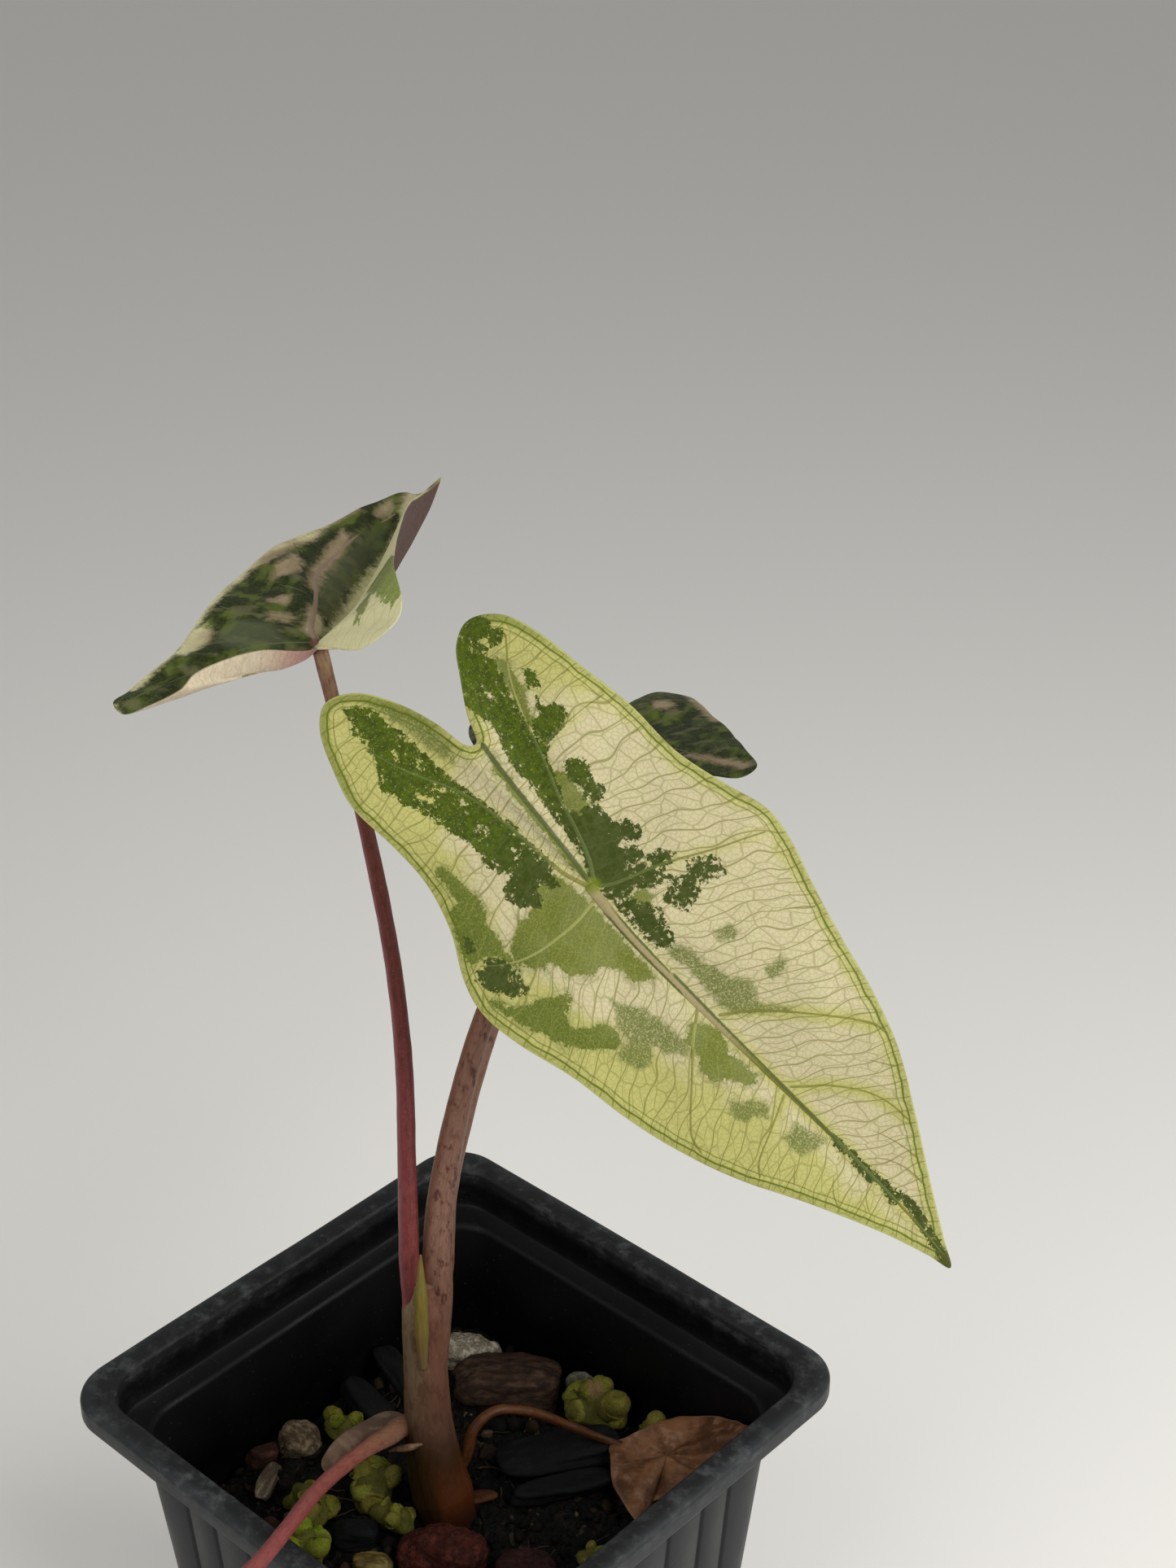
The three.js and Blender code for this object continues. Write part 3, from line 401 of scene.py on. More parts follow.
frontIslands = [  # cream islands within the dark areas
    [(-33.6, -7.3), (-31.6, -7.2), (-31.8, -8), (-33.4, -8)],
    [(-30.6, -6.6), (-28.4, -5.6), (-27.6, -6), (-29, -7), (-30.2, -7.2)],
    [(-26.9, -9.2), (-24.4, -7.8), (-23.8, -8.6), (-25.4, -9.6)],
    [(-26.2, -7.4), (-22.8, -5), (-22.4, -5.3), (-25.6, -7.7)],
    [(-21.4, -5), (-20.4, -5), (-20.4, -5.8), (-21.2, -5.7)],
    [(-17.4, -6), (-15.8, -5.4), (-15.7, -6), (-16.8, -6.5)],
    [(-12.1, -4.5), (-10.2, -4.4), (-10.3, -5.1), (-11.6, -4.9)],
    [(-30.8, 7.9), (-28.6, 8.4), (-28.8, 7.5), (-30.4, 7.3)],
    [(2.6, 7.4), (3.3, 8.6), (3.2, 7.2)],
    [(9.6, 12.2), (10.2, 12.4), (10.3, 10.3), (9.7, 10.4)],
]
frontMid = [  # mid-green areas
    [(-4.8, -2.6), (1, -2.2), (6, -2.2), (10, -2.3), (13, -2.4), (15.4, -2.6), (14.8, -3.6),
     (13.8, -5), (11.6, -5), (10.2, -6.2), (9, -7), (9.4, -8.4), (8, -9.6), (7.2, -11), (4, -11.4),
     (3.4, -12.4), (4.4, -13.2), (3.2, -13.6), (2, -14.6), (0.4, -15.4), (-1.4, -14.6), (-2, -12.8),
     (-3.4, -11.2), (-2.4, -9.6), (-3.6, -8.6), (-5.2, -6.4), (-5.4, -4.4)],
    [(-17, -14.4), (-15.4, -13.4), (-13, -13.4), (-10.5, -13.2), (-8, -13.6), (-5.8, -15), (-3.4, -15),
     (-1.8, -15.8), (-0.6, -15.4), (1.6, -15.8), (-1.6, -16.4), (-3, -18), (-3.4, -20), (-6, -20),
     (-8.6, -18.6), (-10.8, -17.4), (-11.4, -15.6), (-14, -15), (-16, -15)],
    [(6.4, -17), (7.6, -15.2), (8.4, -13.4), (9.4, -13), (10.2, -14.4), (11, -15.8), (13, -15.6),
     (14.4, -14.6), (15, -13), (15.8, -12.2), (17.6, -11.8), (19, -12.4), (19.2, -13.6), (17.8, -14.6),
     (17, -15.8), (16, -16.8), (14.4, -17.4), (13.6, -18.2), (12.4, -18.8), (10, -19.4), (7, -20.6),
     (4, -21.6), (1.6, -21.8), (3.4, -20.8), (5.4, -20), (6, -18.6)],
    [(24, -3), (26, -1.4), (29, -1.4), (30.6, -2.4), (33, -1.8), (35.4, -1.6), (36.2, -2.8),
     (34.8, -3.6), (33.4, -4.2), (32.4, -5.8), (31, -6.6), (29, -6.4), (27.4, -5.4), (25, -5.2)],
    [(-16, 6.6), (-14.6, 8), (-12, 7.8), (-10, 7.5), (-8.6, 7.6), (-7.4, 4.6), (-9.6, 4.2), (-13, 5.2)],
    [(-33.4, 12.2), (-31, 12.6), (-28, 12.2), (-25.4, 10.9), (-23, 10), (-21.4, 10.4), (-20.4, 9),
     (-24, 9), (-28, 10.2), (-31, 11)],
    [(4.8, 2.6), (5.2, 5), (6.6, 5.2), (7.6, 4), (6.4, 3)],
    [(-23, 2), (-22, 2.2), (-18, 1.7), (-14, 1.3), (-10, 1), (-6, 0.6), (-1, 0.3), (-1, -0.2),
     (-6, -0.1), (-10, 0.2), (-14, 0.5), (-18, 0.8), (-21.6, 1.2)],
]
frontFaint = [  # areas with a thin green veil
    [(13.6, -9.2), (16, -7.6), (18.4, -6.6), (21.4, -5.8), (24, -5.4), (27.6, -6), (26, -7.4),
     (24.6, -8.6), (22.4, -9.4), (23.8, -10.6), (24, -12.4), (22.6, -13.4), (20.6, -14.4),
     (19.6, -13.8), (19.6, -11.6), (17, -11.2), (15.8, -10.4)],
    [(14, 1.2), (14.6, 3.2), (16.6, 4.2), (19.4, 4), (20.4, 5), (22.4, 4.8), (23.6, 6), (25, 7.2),
     (26.6, 6.8), (27.6, 5.6), (29.4, 6.4), (31, 8), (32.2, 8.8), (30, 5.6), (28, 3.2), (26.4, 1.6),
     (22, 1.4), (18, 2), (16, 1.2)],
    [(35.2, -6.8), (36.8, -5.6), (38, -4.2), (38.4, -3.4), (40, -3.4), (40.8, -4.6), (39.4, -6),
     (39.2, -7.4), (36.6, -7.8)],
    [(44.4, -2.2), (47, -1.4), (49.2, -1), (49, -2.8), (48.4, -4.4), (46.6, -5.2), (44.6, -4.8)],
    [(16.4, 8.2), (17.2, 10.3), (19, 10.7), (19.1, 9.3), (18, 7.7)],
    [(25.3, 9.8), (25.5, 12.7), (26.7, 12.5), (27.5, 10.6), (26.8, 9.1)],
    [(-42, -6.4), (-38, -3.4), (-33, -1.4), (-28, -1.2), (-26, -2.4), (-29, -3.6), (-34, -4.2), (-38, -5)],
]
frontGreenish = [  # where the cream turns yellow-green: both lobes' ends and the lower left side
    [(-46, -16), (-46, 0), (-30, 0.6), (-26, 1.4), (-24, -3), (-18, -9), (-8, -13), (4, -14), (16, -12),
     (26, -8), (38, -4), (50, -1), (60, -1), (68, -0.6), (76, 0), (64, -8), (40, -20), (0, -28),
     (-30, -20)],
    [(-42, 8), (-42, 18), (-30, 22), (-18, 24), (-14, 20), (-22, 15), (-27, 11), (-34, 9)],
]
# Veins of the front leaf: width at the start and end, and the line along and left.
frontVeins = [
    (1.7, 0.3, [(-0.4, -0.4), (8, -1), (18, -0.9), (28, -0.5), (42, 0.1), (54, 0.5), (66, 0.6), (73, 0.2)]),
    (0.8, 0.3, [(0, 0.3), (-3, 2.1), (-8, 3.9), (-12, 5), (-16, 6.5), (-20, 7.9), (-24, 9.2), (-28, 10.9),
                (-30.6, 12.4), (-32.8, 14.2), (-34.6, 15.6)]),
    (0.8, 0.3, [(0, -0.4), (-4, -1.8), (-9, -2.4), (-14, -2.9), (-20, -3.9), (-24, -5.3), (-28, -7.3),
                (-32, -9), (-37, -10.4)]),
    (0.7, 0.3, [(0.4, 0.2), (1.8, 2.2), (2.9, 5), (4.4, 9), (6.2, 12.6), (8, 16), (9.8, 20), (11.4, 23.4)]),
    (0.6, 0.3, [(25.4, 0), (27.6, 3.2), (30, 6), (33, 8.9), (36, 11.5), (39, 13.9), (41.6, 15.6),
                (43.6, 16)]),
    (0.5, 0.25, [(39.6, 0.4), (41.6, 2.6), (43, 4.4), (45, 6.2), (48, 8.3), (51.5, 9.5), (55, 9.8)]),
    (0.7, 0.3, [(1.6, -0.6), (2.2, -5), (2, -9), (1.6, -12), (0.6, -15), (-1, -17.6), (-3, -20)]),
    (0.6, 0.3, [(22.6, -0.8), (26, -5), (28.6, -7.6), (31, -10), (33.4, -12.4), (35.6, -14.2),
                (38.4, -14.8)]),
    (0.5, 0.25, [(40, -0.2), (41.6, -3.4), (43, -6.4), (44.6, -9.6), (46.4, -11.2)]),
    (0.5, 0.25, [(-19, 7.8), (-19.3, 10.5), (-19.2, 14), (-19, 17), (-18.5, 20)]),
    (0.35, 0.2, [(13.4, 0.4), (14.8, 5.2), (15.8, 8), (17.4, 11.2), (20, 14.8), (22, 18.8), (24, 21)]),
    (0.3, 0.2, [(12, 6.4), (12.6, 10), (14.2, 14), (16, 18), (19, 21.6)]),
    (0.3, 0.2, [(18.6, 0.4), (19.4, 3), (21.4, 6.6), (22, 10.4), (23.6, 13.6), (26.4, 16.8), (29.4, 19.6)]),
]
thinVein = (0.3, 0.18)
frontVeins += [(*thinVein, line) for line in [
    [(31, 0.4), (32.4, 2.2), (35, 5), (38.4, 8), (42, 10), (46, 12.4), (48, 13.8)],
    [(48.4, 0.8), (50, 3), (53, 5.2), (57, 6.6), (60, 7)],
    [(54.6, 1.2), (56.6, 3.4), (59.6, 4.8), (63.6, 5.2)],
    [(8, -0.8), (9.4, -3.6), (12.4, -7), (13.4, -10.6), (14.2, -14)],
    [(15.6, -0.8), (17.8, -5), (17, -8), (18, -11.6), (20.8, -14.8), (22.2, -17)],
    [(24, -8), (23, -10.4), (24.8, -12.8), (27, -15.4), (29, -17)],
    [(31.6, -0.6), (33.4, -3.4), (36, -6), (39.6, -8.6), (42, -10.6)],
    [(45.4, -0.2), (47.2, -3.6), (48.8, -6.6), (50.8, -8.6)],
    [(51.6, -0.2), (53.4, -3.2), (55.4, -5.2), (57.4, -6)],
    [(57.4, 0), (59, -2.2), (61, -3.4)],
    [(-9.6, 4.8), (-9.2, 8), (-7.6, 12), (-6.6, 16), (-6.4, 20)],
    [(-4.6, 3), (-3.4, 7), (-1, 11.4), (0.6, 16), (1.4, 21)],
    [(-14.4, 6.6), (-12.4, 10), (-11.2, 14), (-11.8, 17.6), (-11.6, 20.4)],
    [(-24.6, 9.8), (-24.4, 13), (-24.8, 16), (-24.4, 19)],
    [(-29.4, 12), (-28.8, 15), (-29, 18)],
    [(-8, -2.6), (-9.4, -6), (-11, -9.6), (-11.6, -13), (-12.6, -16.4)],
    [(-15.6, -3.2), (-17.8, -7), (-20, -10.6), (-21.6, -13.6), (-23, -15.6)],
    [(-23.4, -5), (-25, -8.6), (-27.4, -12), (-29.6, -15.4)],
    [(-30, -8), (-32.6, -11), (-35.6, -13.6)],
    [(-5, -2), (-10, -1.2), (-16, -1), (-22, -1.4), (-28, -2.4), (-33, -3.4)],
]]
backLeftVeins = [
    (1.1, 0.35, [(0, 0), (3, 1.9), (7, 3), (11, 4), (15.5, 5.4), (20, 7), (27.5, 7.8), (34.5, 6.9),
                 (44, 5.2), (50, 3)]),
    (0.6, 0.3, [(0, 0.4), (-3, 5), (-7, 10), (-13, 15), (-20, 18.4), (-25, 19.6)]),
    (0.5, 0.25, [(-6, 8), (-10, 14), (-14, 19)]),
    (0.5, 0.25, [(5, 2.6), (4, 8), (4, 13), (6, 18)]),
    (0.5, 0.25, [(13, 4.8), (14, 9), (17, 13.6), (21, 18)]),
    (0.5, 0.25, [(21, 7.2), (25, 11), (31, 14.4)]),
    (0.5, 0.25, [(11, 4), (15, 2.6), (21, 1.6), (28, 0.8)]),
    (0.4, 0.2, [(26, 7.8), (32, 4.6), (40, 2.4), (46, 1.2)]),
    (0.75, 0.4, [(-1, -1.6), (-4.6, -5), (-8.4, -8.6), (-12.6, -13), (-15, -15.6)]),
    (0.3, 0.18, [(-6, -6.2), (-6, -9), (-8, -12.6)]),
    (0.4, 0.3, [(0.7, -0.5), (3.6, -2.1), (5.8, -3.6), (9.4, -5.3), (15, -6.6)]),
    (0.4, 0.3, [(0.7, -0.5), (0, -3.6), (-1.6, -7)]),
    (0.3, 0.18, [(-14, 16.6), (-19, 19.6), (-24, 20.8)]),
    (0.3, 0.18, [(-12, 14.4), (-18, 16.6), (-24, 17.6)]),
]
backRightVeins = [
    (1.1, 0.35, [(0, 0), (10, 0), (24, 0), (40, 0), (54, 0)]),
    (0.6, 0.3, [(0, -0.3), (-7, -4.6), (-15, -10), (-24, -14.4), (-31, -17.6)]),
    (0.6, 0.3, [(0, 0.3), (-7, 4.6), (-15, 10), (-24, 14.4), (-31, 17)]),
    (0.5, 0.25, [(1, 0), (4, -6), (6, -11), (7, -15)]),
    (0.5, 0.25, [(1, 0), (4, 7), (6, 14), (7, 21)]),
    (0.5, 0.25, [(15, 0), (21, -5), (27, -9.6), (31, -11.6)]),
    (0.5, 0.25, [(15, 0), (21, 7), (27, 13), (31, 17)]),
    (0.4, 0.2, [(29, 0), (35, -4.4), (41, -7.4)]),
    (0.4, 0.2, [(29, 0), (35, 6), (41, 10)]),
    (0.3, 0.18, [(-9, -6), (-12, -12), (-15, -18)]),
    (0.3, 0.18, [(-17, -11), (-20, -15), (-23, -19)]),
]
backLeftCream = [
    [(15.5, 5), (16, 6.8), (22, 8.6), (27, 9.2), (33, 9.4), (39, 8.8), (37, 6.8), (31, 6.6), (25.5, 6.3),
     (20.5, 5.9)],
    [(-9, 17.2), (-8, 20.4), (-3, 20.2), (0, 20), (1, 18), (-1, 15.6), (-4, 15.4), (-6.6, 16)],
    [(9, 8), (8.8, 11), (10.6, 11.6), (12, 9.6), (11.4, 7.8)],
    [(3, 5.4), (2.8, 8.8), (4.8, 9.6), (6.4, 7.2), (5.6, 5.2)],
    [(22, 15.6), (21, 19), (28, 17), (32, 15), (38, 13), (38, 11.4), (33, 11.8), (29, 13.4), (25, 14.2)],
    [(0, 0.2), (2, 3.2), (6, 3.8), (10, 4.6), (9, 2.6), (6, 0.6)],
    [(6, 0.4), (10, 1.2), (18, 1.8), (26, 2.2), (36, 1.9), (48, 1.8), (52, 3.4), (56, 3.4), (60, 1.6),
     (68, 0.4), (52, -2), (36, -4), (16, -10), (-6, -17), (-20, -20), (-22, -14), (-8, -4), (-2, 0)],
    [(47, 4.4), (46.6, 6), (51, 6.2), (53.4, 5), (51, 3.8)],
    [(18, 10), (17, 13), (21, 14), (26, 12.6), (25, 10.6), (21, 9.6)],
    [(-26, 21.6), (-29, 18.6), (-28.4, 21)],
    [(-20, 20.9), (-12, 19.5), (-3, 19), (7.5, 18.4), (20, 18.3), (28.5, 15.4), (38, 12), (46, 7.4),
     (46, 9.5), (39.5, 13.5), (29, 17.5), (20.5, 20.5), (7.5, 20.5), (-3, 21), (-12.5, 21.5), (-19.5, 23)],
    [(-24, 11.6), (-21.4, 10.6), (-18, 8.6), (-12, 4.8), (-4, 0.8), (-3.6, 2), (-10, 6.8), (-14, 10.2),
     (-18, 12.8), (-21.6, 14)],
]
backLeftGreenOnCream = [
    [(9.5, -5.4), (8.4, -8.8), (4, -11), (-2, -13.2), (-8, -15.8), (-13.5, -18), (-14.4, -16.4),
     (-10, -13.4), (-6, -11), (-1, -8.6), (4, -6.2)],
    [(-2.8, -9.4), (-5, -10.2), (-8, -10.8), (-9.8, -10), (-8, -8.8), (-5, -8.2)],
    [(34, 0.6), (46, 0.8), (46, -0.2), (34, -0.6)],
]
backLeftPale = [  # where the back leaf's cream is green rather than pink
    [(-4, 2), (6, 3), (24, 4.6), (40, 4.2), (56, 3), (60, -2), (52, -8), (16, -14), (-24, -26), (-26, -12)],
    [(-32, 16), (-6, 16), (10, 16.8), (24, 16), (40, 10.5), (58, 3), (60, 12), (30, 24), (-32, 24)],
]
# painted sheen: outlines on the back-left leaf where a greyer green is laid over the dark green
backLeftSheen = [  # a greyer green between the midrib and the cream side
    [(11, 2.2), (16, 2.6), (24, 2.9), (32, 3), (40, 2.8), (46, 3.4), (42, 5.2), (35, 6.1), (27, 6.9),
     (20, 6.1), (15, 4.7), (11, 3.6)],
    [(-2, 4), (2, 8), (2, 13), (-2, 15), (-6, 12), (-6, 8)],
]
backRightCream = [
    [(28, -10.8), (18, -12.8), (9.5, -14.5), (1.5, -15.8), (-5, -17.1), (-5, -20), (1.5, -19), (9.5, -17.6),
     (18, -16), (28, -14)],
    [(9.4, -8.2), (9.8, -10.4), (6.6, -11.6), (4.6, -10), (6.2, -7.6)],
    [(-20, -10.8), (-23, -12.4), (-28, -16.2), (-33, -19.4), (-32, -21.4), (-27, -18), (-22.5, -14.4),
     (-19.4, -12.2)],
    [(8, 4), (14, 6), (20, 9), (16, 12), (10, 9)],
    [(-14, 8), (-8, 9), (-6, 13), (-12, 14), (-17, 12)],
    [(30, 2), (38, 3), (40, 6), (34, 7)],
]

blades = {
    "leafFront": {
        "node": "leaf_front", "slot": "cream_blade", "outline": frontOutline,
        "joint": (17.2, 12.6, 184.7), "heading": 14.8, "pitch": -39.1, "roll": -50.6,
        "spokes": 560, "rings": 104, "underRings": 26, "thickness": 0.55, "ripple": 0.28,
        "dark": frontDark, "islands": frontIslands, "mid": frontMid, "faint": frontFaint,
        "veins": frontVeins, "look": "cream", "greenish": frontGreenish,
        # painted shadow of the midrib along its sides, and one dark line from the joint to the sinus
        "darkLines": [
            (0.1, [(3, -0.35), (10, -0.5), (16.5, -0.55)]), (0.08, [(4, -1.5), (12, -1.6), (20, -1.3)]),
            (0.14, [(17, -0.3), (26, -0.2), (34, 0), (44, 0.25), (50, 0.4)]),
            (0.28, [(-25, 2.3), (-22, 1.9), (-18, 1.5), (-14, 1.2), (-10, 0.9), (-5, 0.5), (-1, 0)]),
        ],
    },
    "leafBackLeft": {
        "node": "leaf_back_left", "slot": "dark_blade", "outline": backLeftOutline,
        "joint": (-35.2, 9.4, 206.1), "heading": 119, "pitch": 0, "roll": 0,
        "spokes": 420, "rings": 80, "underRings": 24, "thickness": 0.5, "ripple": 0.3,
        "cream": backLeftCream, "mid": backLeftGreenOnCream, "faint": backLeftSheen, "veins": backLeftVeins,
        "greenish": backLeftPale, "look": "dark",
    },
    "leafBackRight": {
        "node": "leaf_back_right", "slot": "dark_blade", "outline": backRightOutline,
        "joint": (-24.8, 63.3, 173), "heading": 134, "pitch": -12, "roll": 10,
        "spokes": 360, "rings": 64, "underRings": 20, "thickness": 0.5, "ripple": 0.3,
        "cream": backRightCream, "veins": backRightVeins, "look": "dark",
    },
}
lowScale = 0.46  # the young low leaf is the front leaf's shape at this size
lowOutline = (np.array(frontOutline) * lowScale).tolist()
blades["leafLow"] = {
    "node": "leaf_low", "slot": "cream_blade", "outline": lowOutline,
    "joint": (16.4, -81.5, 87.5), "heading": -76, "pitch": -52, "roll": 6,
    "spokes": 300, "rings": 48, "underRings": 16, "thickness": 0.45, "ripple": 0.15,
    "dark": [np.array(patch) * (lowScale, -lowScale) for patch in frontDark[:6]],
    "mid": [np.array(patch) * (lowScale, -lowScale) for patch in frontMid[:6]],
    "veins": [(a * 0.6, b * 0.7, np.array(line) * lowScale) for a, b, line in frontVeins[:9]],
    "look": "cream",
}


# World matrix of a blade: roll round its own X, pitch, then heading round Z.
def bladeTurn(spec):
    lifted = turnMatrix(0, 1, spec["heading"]) @ turnMatrix(0, 2, spec["pitch"])
    return lifted @ turnMatrix(2, 1, spec["roll"])


# Height of the blade's middle surface at any along and left: the spoke through that place is
# found by its angle, then lift times u plus the bulge's parabola.
def bladeHeight(spec, flat):
    t = np.arange(2400) / 2400
    rim = closedCurve(spec["outline"], t)
    angle = np.maximum.accumulate(np.unwrap(np.arctan2(rim[:, 1], rim[:, 0])))
    reach = np.linalg.norm(rim[:, :2], axis=1)
    here = np.arctan2(flat[..., 1], flat[..., 0])
    here = np.where(here < angle[0], here + 2 * np.pi, here)
    u = np.linalg.norm(flat, axis=-1) / np.interp(here, angle, reach)
    lift, bulge = np.interp(here, angle, rim[:, 3]), np.interp(here, angle, rim[:, 2])
    return u * lift + 4 * bulge * u * (1 - u) + bladeRipple(spec, flat)


# Slight quilting of the blade between its veins, fading at the stalk.
def bladeRipple(spec, flat):
    deep = np.concatenate([flat, np.zeros((*flat.shape[:-1], 1))], -1)
    fade = smoothStep(1, 8, np.linalg.norm(flat, axis=-1))
    size = spec.get("rippleSize", 7.5)
    return spec["ripple"] * fade * layeredNoise(deep, size, 2, len(spec["outline"]))


# How dark the underside is: with the green areas, or from the middle of the blade to its tip.
def soleShade(spec, flat):
    if spec.get("look") == "dark":
        return smoothStep(2, 14, flat[:, 0] + 0.5 * np.abs(flat[:, 1]))
    return 0.7 * smoothStep(-0.6, 0.6, patchField(flat, spec.get("dark", [])))


farLine = (0, [(90, 90), (91, 90)])  # off the blade, for a leaf without dark lines


# Values that the blade's material reads, at flat places of the leaf: each is the distance to a line
# or to the nearest outline of a kind, above zero inside it.
def bladeFields(spec, local, upper, vein):
    flat = local[:, :2]
    rim = closedCurve(spec["outline"], np.arange(500) / 500)[:, [0, 1, 3]]
    if "cream" in spec:
        dark = -patchField(flat, spec["cream"])
    else:
        dark = patchField(flat, spec.get("dark", []))
        dark = np.minimum(dark, -patchField(flat, spec.get("islands", [])))
    near = [chainDistance(flat, np.array(line, float)) for start, _, line in spec["veins"] if start > 0.4]
    thinDarkLines = [chainDistance(flat, np.array(line, float)) - half
               for half, line in spec.get("darkLines", [farLine])]
    return {
        "leafPlace": local,
        "dark": dark,
        "mid": patchField(flat, spec.get("mid", [])),
        "faint": patchField(flat, spec.get("faint", [])),
        "edge": chainDistance(local, np.concatenate([rim, rim[:1]])),
        "near": np.min(near, axis=0) if near else np.full(len(flat), 9.0),
        "line": np.min(thinDarkLines, axis=0),
        "green": patchField(flat, spec.get("greenish", [])),
        "upper": upper,
        "sole": soleShade(spec, flat),
        "vein": vein,
    }


veinStep = 0.7  # mm between a vein's rings
veinSides = 8


# A vein: a low ridge along a line on the blade's face. Its section is half a flat ellipse, cos a
# across and a share of sin a upward.
def veinRidge(spec, start, end, line, side):
    line = np.asarray(line, float)
    length = np.linalg.norm(np.diff(line, axis=0), axis=1).sum()
    path = smoothPath(line, max(8, int(length / veinStep)))
    across = unit(np.gradient(path, axis=0))[:, ::-1] * (-1, 1)
    width = np.linspace(start, end, len(path))[:, None]
    angle = np.linspace(0, 2 * np.pi, veinSides, endpoint=False)
    flat = path[:, None] + across[:, None] * (0.5 * width * np.cos(angle))[..., None]
    rise = 0.16 * width * np.maximum(np.sin(angle), -0.6)
    rise[[0, -1]] -= 0.1  # the ends dip below the face
    height = bladeHeight(spec, flat) + side * (spec["thickness"] * 0.42 + rise)
    return closedGrid(np.concatenate([flat, height[..., None]], -1)[:, ::side])


# A blade: spokes from its joint to the outline, u running from 0 to 1 along each. A face is the
# middle surface plus or minus half the thickness times the root of 1 less u to the 14th, along the
# surface's own direction. Both faces share the rim, so the blade is one closed body; its veins are
# ridges fused to both faces.
def makeBlade(name, spec, material):
    spokes = spec["spokes"]
    rim = closedCurve(spec["outline"], np.arange(spokes) / spokes)

    def face(rings, side):
        u = 1 - (1 - np.arange(1, rings + 1) / rings) ** 1.3
        u = u[:, None]
        flat = u[..., None] * rim[:, :2]
        middle = u * rim[:, 3] + 4 * u * (1 - u) * rim[:, 2] + bladeRipple(spec, flat)
        points = np.concatenate([flat, middle[..., None]], -1)
        slopes = np.cross(np.gradient(points, axis=0), (np.roll(points, -1, 1) - np.roll(points, 1, 1)))
        swell = np.sqrt(np.maximum(1 - u**14, 0))[..., None]
        return points + side * 0.5 * spec["thickness"] * swell * unit(slopes)

    upper = face(spec["rings"], 1)
    under = face(spec["underRings"], -1)
    half = 0.5 * spec["thickness"]
    count = len(upper) * spokes
    middles = [[0, 0, half], [0, 0, -half]]
    points = np.concatenate([upper.reshape(-1, 3), under[:-1].reshape(-1, 3), middles])
    faces = [
        gridFaces(len(upper), spokes)[:, ::-1],
        fanFaces(len(points) - 2, 0, spokes),
        gridFaces(len(under) - 1, spokes, count),
        fanFaces(len(points) - 1, count, spokes, turned=True),
    ]
    last = count + (len(under) - 2) * spokes + np.arange(spokes)
    rimRing = (len(upper) - 1) * spokes + np.arange(spokes)
    faces.append(np.stack([last, np.roll(last, -1), np.roll(rimRing, -1), rimRing], -1))
    onTop = np.zeros(len(points))
    onTop[:count] = 1
    onTop[-2] = 1
    parts, tops, veins = [(points, faces)], [onTop], [np.zeros(len(points))]
    for start, end, line in spec["veins"]:
        for side in (1, -1):
            ridge = veinRidge(spec, start, end, line, side)
            parts.append(ridge)
            tops.append(np.full(len(ridge[0]), (side + 1) / 2))
            veins.append(np.full(len(ridge[0]), 1.0 if start > 1 else 0.62 + 0.3 * start))
    points, faces = joined(parts)
    fields = bladeFields(spec, points, np.concatenate(tops), np.concatenate(veins))
    world = points @ bladeTurn(spec).T + spec["joint"]
    return makePiece(name, world, faces, material, [spec["node"]], fields)


# How strong each marking is, from 0 to 1 but for the noise sizes in mm, then its colours.
bladeLooks = {
    "cream": {
        "mottle": 2.8, "frill": 1.3, "blur": 0.07, "sheen": 0.0, "halo": 0.5, "holes": 1.0,
        "net": 0.85, "cool": 0.8, "blotches": 0.0, "margin": 1.0, "ribEnd": 0.0,
        "tipSpan": (71.5, 73.5),
        "warmCream": (188, 178, 144), "coolCream": (186, 181, 142), "yellow": (168, 167, 92),
        "lineOnCream": (106, 104, 40), "mid": (94, 102, 40), "midGrey": (102, 109, 56),
        "midDeep": (82, 94, 34), "dark": (70, 86, 8), "darkGrey": (66, 74, 34),
        "deep": (50, 62, 14), "blush": (150, 130, 100), "lineAndSheenOnDark": (88, 100, 54),
        "lineOnMid": (146, 148, 88), "midrib": (140, 128, 92), "edge": (172, 178, 108),
        "edgeLine": (84, 98, 20), "underCream": (172, 170, 118), "underJoint": (172, 166, 118),
        "underDark": (104, 106, 70), "streak": (72, 82, 46), "joint": (104, 116, 32), "tip": (70, 74, 30),
    },
    "dark": {
        "mottle": 3.6, "frill": 0.4, "blur": 0.9, "sheen": 0.6, "halo": 0.0, "holes": 0.2,
        "net": 0.25, "cool": 1.0, "blotches": 0.7, "margin": 0.0, "ribEnd": 1.0,
        "tipSpan": (61.0, 66.0),
        "warmCream": (160, 142, 116), "coolCream": (132, 128, 92), "yellow": (218, 215, 168),
        "lineOnCream": (128, 98, 76), "mid": (98, 112, 44), "midGrey": (118, 130, 74),
        "midDeep": (122, 138, 62), "dark": (52, 62, 26), "darkGrey": (48, 56, 28),
        "deep": (36, 42, 20), "blush": (106, 104, 74), "lineAndSheenOnDark": (96, 102, 76),
        "lineOnMid": (128, 132, 84), "midrib": (146, 124, 110), "edge": (192, 182, 146),
        "edgeLine": (100, 110, 50), "underCream": (194, 182, 158), "underJoint": (172, 124, 124),
        "underDark": (78, 58, 54), "streak": (70, 80, 46), "joint": (120, 80, 74), "tip": (196, 190, 112),
    },
}


